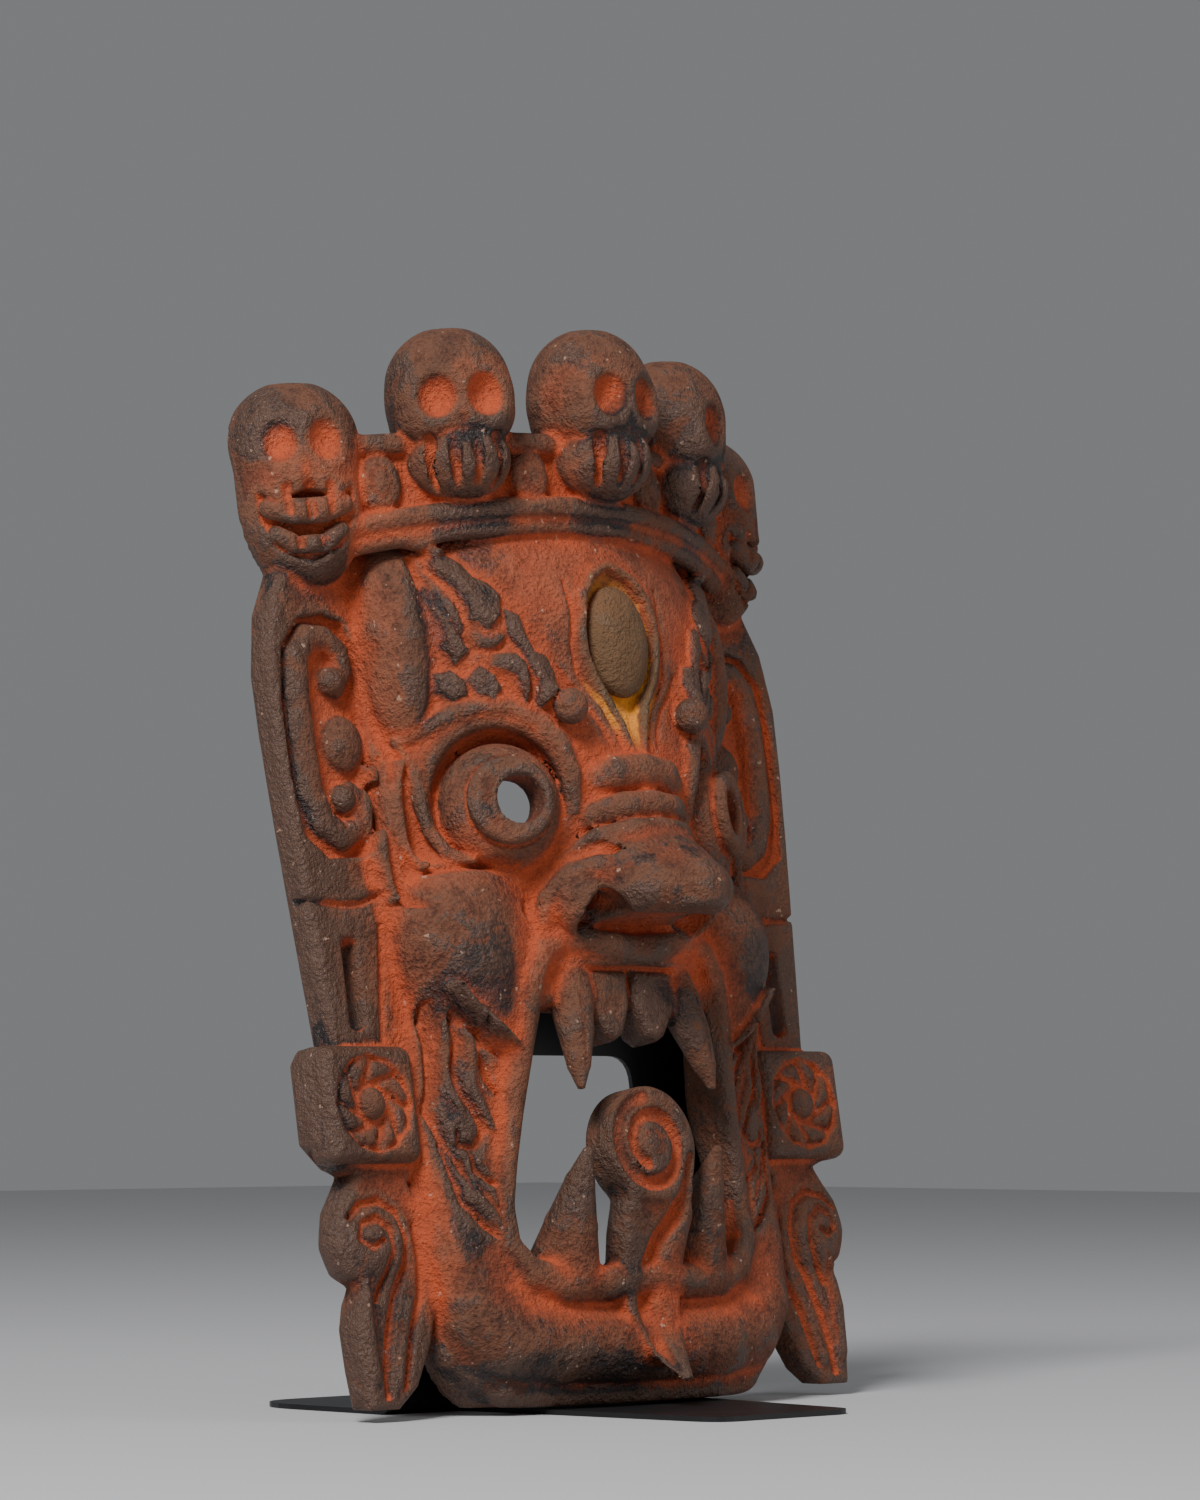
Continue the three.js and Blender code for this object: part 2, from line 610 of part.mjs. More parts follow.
// Everything is cut flat behind, and the tassels and the chin flat below
const backZ = -plate;

function maskSteps() {
  return [
    ...faceMasses(),
    ...jaw(),
    ...temple(),
    ...crown(),
    add(board(), 2),
    ...earPlate(),
    ...flower(),
    ...tassel(),
    ...brow(),
    ...thirdEye(),
    ...eye(),
    ...nose(),
    ...beard(),
    cut(hollow(), 2),
    ...mouthRim(),
    ...mouthOpening(),
    ...teeth(),
    cut(crownHollow(), 2),
    ...skulls(),
    cut(eyeHole(), 0.8),
    cut(nostril(), 1),
    cut(pocket(), 0.5),
  ];
}

const mirroredSteps = maskSteps();
const tongueSteps = tongue();

function maskDistance(x, y, z) {
  const mirrored = carve(mirroredSteps, Math.abs(x), y, z);
  const carved = softMin(mirrored, carve(tongueSteps, x, y, z), 1.5);
  const lowest = Math.abs(x) < tasselInnerX ? sheetThickness + chinClearance : tasselClearance;
  return Math.max(carved, backZ - z, lowest / unit - heightOverFloor(y, z));
}

// Meshing: the field is sampled on a lattice and each cell is split into six tetrahedra
const cell = 2.6;
const latticeLow = [-127, -14, -12];
const latticeHigh = [127, 318, 72];

function sampleField() {
  const counts = latticeLow.map((low, axis) => Math.ceil((latticeHigh[axis] - low) / cell / 4) * 4 + 1);
  const [nx, ny, nz] = counts;
  const values = new Float32Array(nx * ny * nz).fill(1e3);
  const at = (i, j, k) => i + nx * (j + ny * k);
  const point = (i, j, k) => [latticeLow[0] + i * cell, latticeLow[1] + j * cell, latticeLow[2] + k * cell];
  const block = 4;
  const reach = block * cell * 1.25;
  const active = [];
  for (let k = 0; k < nz - 1; k += block) {
    for (let j = 0; j < ny - 1; j += block) {
      for (let i = 0; i < nx - 1; i += block) {
        const [x, y, z] = point(i + block / 2, j + block / 2, k + block / 2);
        if (Math.abs(maskDistance(x, y, z)) > reach) continue;
        active.push([i, j, k]);
      }
    }
  }
  const known = new Uint8Array(values.length);
  for (const [i0, j0, k0] of active) {
    for (let k = k0; k <= k0 + block; k += 1) {
      for (let j = j0; j <= j0 + block; j += 1) {
        for (let i = i0; i <= i0 + block; i += 1) {
          const index = at(i, j, k);
          if (known[index]) continue;
          known[index] = 1;
          const distance = maskDistance(...point(i, j, k));
          values[index] = Math.abs(distance) < 1e-3 ? 1e-3 : distance;
        }
      }
    }
  }
  return { values, counts, active, block, at, point };
}

// The six tetrahedra of a cell, as steps from its low corner along one diagonal
const TETRAHEDRA = [
  [[0, 0, 0], [1, 0, 0], [1, 1, 0], [1, 1, 1]],
  [[0, 0, 0], [1, 1, 0], [0, 1, 0], [1, 1, 1]],
  [[0, 0, 0], [0, 1, 0], [0, 1, 1], [1, 1, 1]],
  [[0, 0, 0], [0, 1, 1], [0, 0, 1], [1, 1, 1]],
  [[0, 0, 0], [0, 0, 1], [1, 0, 1], [1, 1, 1]],
  [[0, 0, 0], [1, 0, 1], [1, 0, 0], [1, 1, 1]],
];

function surfaceOf({ values, counts, active, block, at, point }) {
  const positions = [];
  const triangles = [];
  const corners = new Map();
  const [nx, ny] = counts;
  const total = values.length;
  const crossing = (a, b) => {
    const [low, high] = a < b ? [a, b] : [b, a];
    const key = low * total + high;
    if (corners.has(key)) return corners.get(key);
    const t = clamp(values[low] / (values[low] - values[high]), 0.06, 0.94);
    const place = (index) => point(index % nx, Math.floor(index / nx) % ny, Math.floor(index / (nx * ny)));
    const [p, q] = [place(low), place(high)];
    positions.push(mix(p[0], q[0], t), mix(p[1], q[1], t), mix(p[2], q[2], t));
    corners.set(key, positions.length / 3 - 1);
    return positions.length / 3 - 1;
  };
  const face = (a, b, c) => triangles.push(a, b, c);
  const tetrahedron = (t) => {
    const inner = t.filter((index) => values[index] < 0);
    const outer = t.filter((index) => values[index] >= 0);
    if (inner.length === 0 || outer.length === 0) return;
    const order = [...inner, ...outer].map((index) => t.indexOf(index));
    let swaps = 0;
    for (let i = 0; i < 4; i += 1) for (let j = i + 1; j < 4; j += 1) if (order[i] > order[j]) swaps += 1;
    const even = swaps % 2 === 0;
    if (inner.length === 1) {
      const [a, b, c] = outer.map((index) => crossing(inner[0], index));
      face(a, even ? b : c, even ? c : b);
    } else if (inner.length === 3) {
      const [a, b, c] = inner.map((index) => crossing(index, outer[0]));
      face(a, even ? b : c, even ? c : b);
    } else {
      const a = crossing(inner[0], outer[0]);
      const b = crossing(inner[0], outer[1]);
      const c = crossing(inner[1], outer[1]);
      const d = crossing(inner[1], outer[0]);
      if (even) { face(a, b, c); face(a, c, d); } else { face(a, c, b); face(a, d, c); }
    }
  };
  for (const [i0, j0, k0] of active) {
    for (let k = k0; k < k0 + block; k += 1) {
      for (let j = j0; j < j0 + block; j += 1) {
        for (let i = i0; i < i0 + block; i += 1) {
          for (const tet of TETRAHEDRA) {
            tetrahedron(tet.map(([di, dj, dk]) => at(i + di, j + dj, k + dk)));
          }
        }
      }
    }
  }
  return { positions, triangles };
}

const cross = (ux, uy, uz, vx, vy, vz) => [uy * vz - uz * vy, uz * vx - ux * vz, ux * vy - uy * vx];

// Only the largest shell is kept, without loose crumbs or closed bubbles
function largestShell(triangles, cornerCount) {
  const leader = Int32Array.from({ length: cornerCount }, (_, i) => i);
  const find = (corner) => {
    let top = corner;
    while (leader[top] !== top) {
      leader[top] = leader[leader[top]];
      top = leader[top];
    }
    return top;
  };
  for (let i = 0; i < triangles.length; i += 3) {
    leader[find(triangles[i])] = find(triangles[i + 1]);
    leader[find(triangles[i + 1])] = find(triangles[i + 2]);
  }
  const sizes = new Map();
  for (let i = 0; i < triangles.length; i += 3) {
    const shell = find(triangles[i]);
    sizes.set(shell, (sizes.get(shell) ?? 0) + 1);
  }
  const [largest] = [...sizes].reduce((best, next) => (next[1] > best[1] ? next : best));
  return triangles.filter((_, i) => find(triangles[i - i % 3]) === largest);
}

// Thinning: the edge whose loss moves the surface least goes first, until few enough
// faces are left. Each corner keeps the sum of the planes it stands for.
class Thinner {
  constructor(positions, triangles) {
    this.place = Float64Array.from(positions);
    this.face = Int32Array.from(triangles);
    this.faceCount = triangles.length / 3;
    this.gone = new Uint8Array(this.faceCount);
    const corners = positions.length / 3;
    this.around = Array.from({ length: corners }, () => []);
    this.planes = new Float64Array(corners * 10);
    this.stamp = new Int32Array(corners);
    this.heap = [];
    for (let f = 0; f < this.faceCount; f += 1) this.admit(f);
    for (let f = 0; f < this.faceCount; f += 1) {
      for (let side = 0; side < 3; side += 1) {
        const [a, b] = [this.face[3 * f + side], this.face[3 * f + (side + 1) % 3]];
        if (a < b) this.offer(a, b);
      }
    }
  }

  normal(a, b, c) {
    const p = this.place;
    return cross(
      p[3 * b] - p[3 * a], p[3 * b + 1] - p[3 * a + 1], p[3 * b + 2] - p[3 * a + 2],
      p[3 * c] - p[3 * a], p[3 * c + 1] - p[3 * a + 1], p[3 * c + 2] - p[3 * a + 2],
    );
  }

  admit(f) {
    const [a, b, c] = this.face.subarray(3 * f, 3 * f + 3);
    const n = this.normal(a, b, c);
    const size = Math.hypot(...n);
    const weight = size / 2;
    const [nx, ny, nz] = size > 0 ? n.map((value) => value / size) : [0, 0, 0];
    const d = -(nx * this.place[3 * a] + ny * this.place[3 * a + 1] + nz * this.place[3 * a + 2]);
    const terms = [nx * nx, nx * ny, nx * nz, nx * d, ny * ny, ny * nz, ny * d, nz * nz, nz * d, d * d];
    for (const corner of [a, b, c]) {
      this.around[corner].push(f);
      terms.forEach((term, i) => { this.planes[10 * corner + i] += term * weight; });
    }
  }

  error(q, x, y, z) {
    return q[0] * x * x + 2 * q[1] * x * y + 2 * q[2] * x * z + 2 * q[3] * x + q[4] * y * y
      + 2 * q[5] * y * z + 2 * q[6] * y + q[7] * z * z + 2 * q[8] * z + q[9];
  }

  distanceBetween(a, b) {
    const p = this.place;
    return Math.hypot(p[3 * a] - p[3 * b], p[3 * a + 1] - p[3 * b + 1], p[3 * a + 2] - p[3 * b + 2]);
  }

  // The place on which the two corners' planes agree best, or else their middle
  bestPlace(a, b) {
    const q = new Array(10);
    for (let i = 0; i < 10; i += 1) q[i] = this.planes[10 * a + i] + this.planes[10 * b + i];
    const p = this.place;
    const middle = [
      (p[3 * a] + p[3 * b]) / 2, (p[3 * a + 1] + p[3 * b + 1]) / 2, (p[3 * a + 2] + p[3 * b + 2]) / 2,
    ];
    const [xx, xy, xz, x1, yy, yz, y1, zz, z1] = q;
    const [c0, c1, c2] = [yy * zz - yz * yz, yz * xz - xy * zz, xy * yz - yy * xz];
    const determinant = xx * c0 + xy * c1 + xz * c2;
    const scale = (xx + yy + zz) ** 3;
    let spot = middle;
    if (Math.abs(determinant) > 1e-4 * scale) {
      spot = [
        -(c0 * x1 + c1 * y1 + c2 * z1) / determinant,
        -(c1 * x1 + (xx * zz - xz * xz) * y1 + (xy * xz - xx * yz) * z1) / determinant,
        -(c2 * x1 + (xy * xz - xx * yz) * y1 + (xx * yy - xy * xy) * z1) / determinant,
      ];
      const moved = Math.hypot(spot[0] - middle[0], spot[1] - middle[1], spot[2] - middle[2]);
      if (moved > 1.5 * this.distanceBetween(a, b)) spot = middle;
    }
    const cost = Math.max(this.error(q, ...spot), 0);
    return { spot, cost };
  }

  offer(a, b) {
    const { spot, cost } = this.bestPlace(a, b);
    const length = this.distanceBetween(a, b);
    const entry = { cost: cost + 1e-5 * length * length, a, b, spot, stamps: this.stamp[a] + this.stamp[b] };
    let i = this.heap.push(entry) - 1;
    while (i > 0) {
      const parent = (i - 1) >> 1;
      if (this.heap[parent].cost <= entry.cost) break;
      this.heap[i] = this.heap[parent];
      i = parent;
    }
    this.heap[i] = entry;
  }

  cheapest() {
    const top = this.heap[0];
    const last = this.heap.pop();
    const size = this.heap.length;
    if (size > 0) {
      let i = 0;
      for (;;) {
        let child = 2 * i + 1;
        if (child >= size) break;
        if (child + 1 < size && this.heap[child + 1].cost < this.heap[child].cost) child += 1;
        if (this.heap[child].cost >= last.cost) break;
        this.heap[i] = this.heap[child];
        i = child;
      }
      this.heap[i] = last;
    }
    return top;
  }

  neighbours(corner) {
    const found = new Set();
    for (const f of this.around[corner]) {
      for (let side = 0; side < 3; side += 1) found.add(this.face[3 * f + side]);
    }
    found.delete(corner);
    return found;
  }

  // A face may neither turn over nor become a needle
  keepsShape(corner, other, [sx, sy, sz]) {
    const p = this.place;
    const [ox, oy, oz] = [p[3 * corner], p[3 * corner + 1], p[3 * corner + 2]];
    for (const f of this.around[corner]) {
      let [a, b, c] = [this.face[3 * f], this.face[3 * f + 1], this.face[3 * f + 2]];
      if (a === other || b === other || c === other) continue;
      while (a !== corner) [a, b, c] = [b, c, a];
      const [bx, by, bz] = [p[3 * b], p[3 * b + 1], p[3 * b + 2]];
      const [ex, ey, ez] = [p[3 * c] - bx, p[3 * c + 1] - by, p[3 * c + 2] - bz];
      const before = cross(bx - ox, by - oy, bz - oz, ex, ey, ez);
      const [tx, ty, tz] = [bx - sx, by - sy, bz - sz];
      const after = cross(tx, ty, tz, ex, ey, ez);
      const turn = before[0] * after[0] + before[1] * after[1] + before[2] * after[2];
      const area = Math.hypot(after[0], after[1], after[2]);
      if (turn < 0.35 * Math.hypot(before[0], before[1], before[2]) * area) return false;
      const third = (tx + ex) ** 2 + (ty + ey) ** 2 + (tz + ez) ** 2;
      const longest = Math.max(ex * ex + ey * ey + ez * ez, tx * tx + ty * ty + tz * tz, third);
      if (area < 0.06 * longest) return false;
    }
    return true;
  }

  merge({ a, b, spot }) {
    const [nearA, nearB] = [this.neighbours(a), this.neighbours(b)];
    let shared = 0;
    for (const corner of nearA) if (nearB.has(corner)) shared += 1;
    if (shared !== 2 || nearA.size + nearB.size < 9) return 0;
    if (!this.keepsShape(a, b, spot) || !this.keepsShape(b, a, spot)) return 0;
    let lost = 0;
    for (const f of this.around[b]) {
      const ids = this.face.subarray(3 * f, 3 * f + 3);
      if (ids.includes(a)) {
        this.gone[f] = 1;
        lost += 1;
      } else {
        ids[ids.indexOf(b)] = a;
        this.around[a].push(f);
      }
    }
    this.around[b] = [];
    for (const corner of nearB) {
      this.around[corner] = this.around[corner].filter((f) => !this.gone[f]);
    }
    this.around[a] = this.around[a].filter((f) => !this.gone[f]);
    this.place.set(spot, 3 * a);
    for (let i = 0; i < 10; i += 1) this.planes[10 * a + i] += this.planes[10 * b + i];
    this.stamp[a] += 1;
    this.stamp[b] += 1e6;
    for (const corner of this.neighbours(a)) this.offer(a, corner);
    return lost;
  }

  thinTo(target) {
    let left = this.faceCount;
    while (left > target && this.heap.length > 0) {
      const entry = this.cheapest();
      if (this.stamp[entry.a] + this.stamp[entry.b] !== entry.stamps) continue;
      left -= this.merge(entry);
    }
    const faces = [];
    for (let f = 0; f < this.faceCount; f += 1) {
      if (!this.gone[f]) faces.push(...this.face.subarray(3 * f, 3 * f + 3));
    }
    return faces;
  }
}

const maskFaces = 9000;

function maskGeometry() {
  const { positions, triangles } = surfaceOf(sampleField());
  const thinner = new Thinner(positions, largestShell(triangles, positions.length / 3));
  const faces = thinner.thinTo(maskFaces);
  const numbers = new Map();
  const places = [];
  const index = faces.map((corner) => {
    if (!numbers.has(corner)) {
      numbers.set(corner, numbers.size);
      places.push(...thinner.place.subarray(3 * corner, 3 * corner + 3));
    }
    return numbers.get(corner);
  });
  const geometry = new THREE.BufferGeometry();
  geometry.setAttribute('position', new THREE.Float32BufferAttribute(places, 3));
  geometry.setIndex(index);
  return geometry;
}

// Solids for joining and cutting
function toSolid(geometry) {
  geometry.deleteAttribute('normal');
  geometry.deleteAttribute('uv');
  const merged = mergeVertices(geometry, 1e-4);
  return new wasm.Manifold(new wasm.Mesh({
    numProp: 3,
    vertProperties: merged.getAttribute('position').array,
    triVerts: Uint32Array.from(merged.getIndex().array),
  }));
}

function toGeometry(solid) {
  const mesh = solid.getMesh();
  const geometry = new THREE.BufferGeometry();
  geometry.setAttribute('position', new THREE.BufferAttribute(mesh.vertProperties, 3));
  geometry.setIndex(new THREE.BufferAttribute(mesh.triVerts, 1));
  return geometry;
}

// An outline of corners [x, y, radius], each rounded by its own radius
function roundedShape(corners) {
  const shape = new THREE.Shape();
  const count = corners.length;
  corners.forEach(([x, y, radius], i) => {
    const corner = new THREE.Vector2(x, y);
    const before = new THREE.Vector2(...corners[(i + count - 1) % count]).sub(corner).normalize();
    const after = new THREE.Vector2(...corners[(i + 1) % count]).sub(corner).normalize();
    const start = corner.clone().addScaledVector(before, radius);
    const end = corner.clone().addScaledVector(after, radius);
    if (i === 0) shape.moveTo(start.x, start.y);
    else shape.lineTo(start.x, start.y);
    if (radius > 0) shape.quadraticCurveTo(x, y, end.x, end.y);
  });
  shape.closePath();
  return shape;
}

const curveSegments = 6;
const extrude = (shape, depth) => new THREE.ExtrudeGeometry(shape, { depth, bevelEnabled: false, curveSegments });

// The bent strip seen from the side: flange, bend and upright, with y along x
function bentProfile() {
  const [t, r] = [sheetThickness, bendRadius];
  const shape = new THREE.Shape();
  shape.moveTo(flangeDepth, 0);
  shape.lineTo(flangeDepth, t);
  shape.lineTo(t + r, t);
  shape.absarc(t + r, t + r, r, -Math.PI / 2, -Math.PI, true);
  shape.lineTo(t, standHeight);
  shape.lineTo(0, standHeight);
  shape.lineTo(0, t + r);
  shape.absarc(t + r, t + r, t + r, -Math.PI, -Math.PI / 2, false);
  shape.closePath();
  return shape;
}

const tongueRoot = standWidth / 2 - legWidth; // half the tongue's width at the bend
const tongueTip = tongueRoot - tongueTaper;
const windowHeight = tongueLength + windowSpare; // over the floor

function standGeometry() {
  const half = standWidth / 2;
  const spare = 5; // how far a cutter runs past what it cuts
  const strip = extrude(bentProfile(), standWidth);
  strip.rotateX(Math.PI / 2).rotateZ(Math.PI / 2).translate(-half, 0, 0);
  const flangeOutline = roundedShape([
    [-half, -spare, 0], [half, -spare, 0], [half, flangeDepth, flangeCornerRadius],
    [-half, flangeDepth, flangeCornerRadius],
  ]);
  const flangeCutter = extrude(flangeOutline, standHeight + 2 * spare).translate(0, 0, -spare);
  const uprightOutline = roundedShape([
    [-half, -spare, 0], [half, -spare, 0], [half, 0, 0], [standTopWidth / 2, standHeight, standCornerRadius],
    [-standTopWidth / 2, standHeight, standCornerRadius], [-half, 0, 0],
  ]);
  const uprightCutter = extrude(uprightOutline, flangeDepth + 2 * spare);
  uprightCutter.rotateX(Math.PI / 2).translate(0, flangeDepth + spare, 0);
  const windowOutline = roundedShape([
    [-tongueRoot, -spare, 0], [tongueRoot, -spare, 0], [tongueTip, windowHeight, tongueCornerRadius],
    [-tongueTip, windowHeight, tongueCornerRadius],
  ]);
  const bendEnd = sheetThickness + bendRadius;
  const windowCutter = extrude(windowOutline, bendEnd + spare);
  windowCutter.rotateX(Math.PI / 2).translate(0, bendEnd, 0);
  const tongueOutline = roundedShape([
    [tongueRoot, bendEnd + 1, 0], [-tongueRoot, bendEnd + 1, 0], [-tongueRoot, 0, 0],
    [-tongueTip, -tongueLength, tongueCornerRadius], [tongueTip, -tongueLength, tongueCornerRadius],
    [tongueRoot, 0, 0],
  ]);
  const tongue = toSolid(extrude(tongueOutline, sheetThickness));
  return toGeometry(toSolid(strip)
    .intersect(toSolid(flangeCutter))
    .intersect(toSolid(uprightCutter))
    .subtract(toSolid(windowCutter))
    .add(tongue));
}

const paintedWood = new THREE.MeshStandardMaterial({ color: 0x8a5a3c, roughness: 0.85, metalness: 0 });
const blackSteel = new THREE.MeshStandardMaterial({ color: 0x17171a, roughness: 0.5, metalness: 0.3 });

// Carving axes across, up and out become X, Z and -Y before the mask leans back
const mask = new THREE.Mesh(maskGeometry(), paintedWood);
mask.name = 'mask';
mask.scale.setScalar(unit);
mask.rotation.x = Math.PI / 2 - lean;
mask.position.set(0, -tipsAheadOfBend, tipHeight * unit);

const stand = new THREE.Mesh(standGeometry(), blackSteel);
stand.name = 'stand';

const model = new THREE.Group();
model.name = 'bhairava_mask';
model.add(mask, stand);

export default model;
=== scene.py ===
"""A carved and painted wooden mask of a fierce deity, held up by a bent steel stand."""
import math
from types import SimpleNamespace
import bpy
import numpy as np
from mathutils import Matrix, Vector


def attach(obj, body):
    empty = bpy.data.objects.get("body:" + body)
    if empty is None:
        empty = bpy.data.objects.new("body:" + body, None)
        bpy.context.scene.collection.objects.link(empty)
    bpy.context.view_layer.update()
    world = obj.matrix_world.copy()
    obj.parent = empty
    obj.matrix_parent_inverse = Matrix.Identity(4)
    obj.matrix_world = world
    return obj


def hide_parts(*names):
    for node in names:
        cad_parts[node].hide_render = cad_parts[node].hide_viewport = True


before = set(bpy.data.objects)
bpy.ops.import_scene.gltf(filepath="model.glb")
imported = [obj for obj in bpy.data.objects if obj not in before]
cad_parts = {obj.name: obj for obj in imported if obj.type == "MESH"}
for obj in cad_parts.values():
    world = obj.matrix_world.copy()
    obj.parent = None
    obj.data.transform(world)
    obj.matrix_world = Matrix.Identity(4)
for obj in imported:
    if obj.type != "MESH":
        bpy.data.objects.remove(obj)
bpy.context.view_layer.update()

MILLIMETRE = 0.001
PHOTO_HEIGHT = 1500

CAMERA_PLACE = (-1057.2, -1046.0, 88.5)  # millimetres, as every length of the object
CAMERA_YAW = math.radians(45.73)
CAMERA_PITCH = math.radians(4.057)
FOCAL_PIXELS = 5000.0
SENSOR = 36.0


def camera():
    """The camera stands where the photographer's did."""
    data = bpy.data.cameras.new("camera")
    data.sensor_fit = "VERTICAL"
    data.sensor_height = SENSOR
    data.lens = FOCAL_PIXELS * SENSOR / PHOTO_HEIGHT
    data.clip_end = 50.0
    made = bpy.data.objects.new("camera", data)
    bpy.context.scene.collection.objects.link(made)
    level = math.cos(CAMERA_PITCH)
    ahead = Vector((math.sin(CAMERA_YAW) * level, math.cos(CAMERA_YAW) * level, math.sin(CAMERA_PITCH)))
    made.rotation_euler = ahead.to_track_quat("-Z", "Y").to_euler()
    made.location = Vector(CAMERA_PLACE) * MILLIMETRE
    bpy.context.scene.camera = made


camera()

# The carving is drawn in units of its own: the mask is 316 units high, a millimetre each.
# x runs across from the middle, y up along the mask, z out towards the viewer, with
# z = 0 on the front of the ear plates. Both halves mirror each other.
WALL = 11.0  # of the face, between the carving and the hollow
PLATE = 10.0  # thickness of the ear plates, flower blocks and tassels
TASSEL_TIP_Y = -4.0
TASSEL_INNER_X = 71.0  # the chin lies inside this, the tassels outside
LEAN = math.radians(10.0)  # the mask leans back
TASSEL_CLEARANCE = 3.5  # the tassels' tips hang this high over the floor
CHIN_HEIGHT = 2.3
TIP_HEIGHT = TASSEL_CLEARANCE - TASSEL_TIP_Y * math.cos(LEAN)
TIPS_AHEAD_OF_BEND = 24.7

STAND_WIDTH = 140.0
STAND_TOP_WIDTH = 112.0
STAND_HEIGHT = 158.0
POCKET_CLEARANCE = 1.5


def soft_min(a, b, soft):
    overlap = np.maximum(soft - np.abs(a - b), 0.0) / soft
    return np.minimum(a, b) - overlap * overlap * soft * 0.25


def soft_max(a, b, soft):
    return -soft_min(-a, -b, soft)


def form(distance, low, high):
    """A signed distance with the box that holds its shape."""
    return SimpleNamespace(distance=distance, low=np.array(low, float), high=np.array(high, float))


def ellipsoid(centre, radii):
    centre, radii = np.array(centre, float), np.array(radii, float)

    def distance(p):
        scaled = (p - centre) / radii
        size = np.linalg.norm(scaled, axis=1)
        slope = np.linalg.norm(scaled / radii, axis=1)
        return size * (size - 1.0) / np.maximum(slope, 1e-6)

    return form(distance, centre - radii, centre + radii)


def rounded_box(centre, half, radius):
    centre, half = np.array(centre, float), np.array(half, float)

    def distance(p):
        q = np.abs(p - centre) - half + radius
        outside = np.linalg.norm(np.maximum(q, 0.0), axis=1)
        return outside + np.minimum(q.max(axis=1), 0.0) - radius

    return form(distance, centre - half, centre + half)


def strand(points):
    """A round rod through points [x, y, z, radius], tapering from each to the next."""
    points = np.array(points, float)
    radii = points[:, 3:]

    def distance(p):
        nearest = np.full(len(p), 1e3)
        for start, end in zip(points[:-1], points[1:]):
            run = end[:3] - start[:3]
            along = np.clip((p - start[:3]) @ run / (run @ run), 0.0, 1.0)
            gap = np.linalg.norm(p - start[:3] - along[:, None] * run, axis=1)
            nearest = np.minimum(nearest, gap - start[3] - along * (end[3] - start[3]))
        return nearest

    return form(distance, (points[:, :3] - radii).min(axis=0), (points[:, :3] + radii).max(axis=0))


def along_line(x, y, start, end):
    """How far along a line from start to end each point lies, and how far off it."""
    (ax, ay), (bx, by) = start, end
    dx, dy = bx - ax, by - ay
    along = np.clip(((x - ax) * dx + (y - ay) * dy) / (dx * dx + dy * dy), 0.0, 1.0)
    return along, np.hypot(x - ax - dx * along, y - ay - dy * along)


def polygon(corners):
    """The distance to a closed outline in the x-y plane, below zero inside."""
    corners = np.array(corners, float)

    def distance(x, y):
        nearest = np.full(len(x), 1e6)
        inside = np.zeros(len(x), bool)
        for (ax, ay), (bx, by) in zip(np.roll(corners, 1, axis=0), corners):
            nearest = np.minimum(nearest, along_line(x, y, (ax, ay), (bx, by))[1])
            if by != ay:
                inside ^= ((ay > y) != (by > y)) & (x < ax + (bx - ax) * ((y - ay) / (by - ay)))
        return np.where(inside, -nearest, nearest)

    return distance


def rounded(across, through, rounding):
    """The distance to where two faces meet in a rounded edge."""
    across, through = across + rounding, through + rounding
    outside = np.hypot(np.maximum(across, 0.0), np.maximum(through, 0.0))
    return outside + np.minimum(np.maximum(across, through), 0.0) - rounding


def slab(outline, low, high, back, front, rounding):
    """An outline in the x-y plane, thick from back to front, with rounded edges."""
    middle, half = (front + back) / 2, (front - back) / 2

    def distance(p):
        return rounded(outline(p[:, 0], p[:, 1]), np.abs(p[:, 2] - middle) - half, rounding)

    return form(distance, (*low, back), (*high, front))


def add(shape, soft=2.0):
    return SimpleNamespace(kind="add", shape=shape, soft=soft)


def cut(shape, soft=1.5):
    return SimpleNamespace(kind="cut", shape=shape, soft=soft)


def relief(height, low, high):
    """Raises the surface by height(x, y), or sinks it where that is below zero."""
    shape = form(lambda p: height(p[:, 0], p[:, 1]), (*low, -6.0), (*high, 90.0))
    return SimpleNamespace(kind="relief", shape=shape, soft=0.0)


SPREAD = 1.1  # of ridges and grooves past their drawn width


def closeness(path):
    """1 along a path of points [x, y, half width], falling smoothly to 0 at its edges."""
    path = np.array(path, float)

    def share(x, y):
        best = np.zeros(len(x))
        for start, end in zip(path[:-1], path[1:]):
            along, gap = along_line(x, y, start[:2], end[:2])
            best = np.maximum(best, 1.0 - gap / (start[2] + (end[2] - start[2]) * along))
        return best * best * (3.0 - 2.0 * best)

    width = path[:, 2].max()
    return share, path[:, :2].min(axis=0) - width, path[:, :2].max(axis=0) + width


def ridge(path, height):
    share, low, high = closeness([(x, y, SPREAD * width) for x, y, width in path])
    return relief(lambda x, y: height * share(x, y), low, high)


def groove(path, depth):
    return ridge(path, -depth)


def plateau(corners, height, edge=0.8):
    """A flat raised or sunken area inside an outline, with an edge that slopes over a width."""
    outline = polygon(corners)
    corners = np.array(corners, float)

    def rise(x, y):
        inward = np.clip(0.5 - outline(x, y) / (2 * edge), 0.0, 1.0)
        return height * inward * inward * (3.0 - 2.0 * inward)

    return relief(rise, corners.min(axis=0) - edge, corners.max(axis=0) + edge)


def evenly(path, width):
    """The same half width all along a path, but for tapered ends."""
    middle = [(x, y, width) for x, y in path[1:-1]]
    return [(*path[0], width * 0.4), *middle, (*path[-1], width * 0.4)]


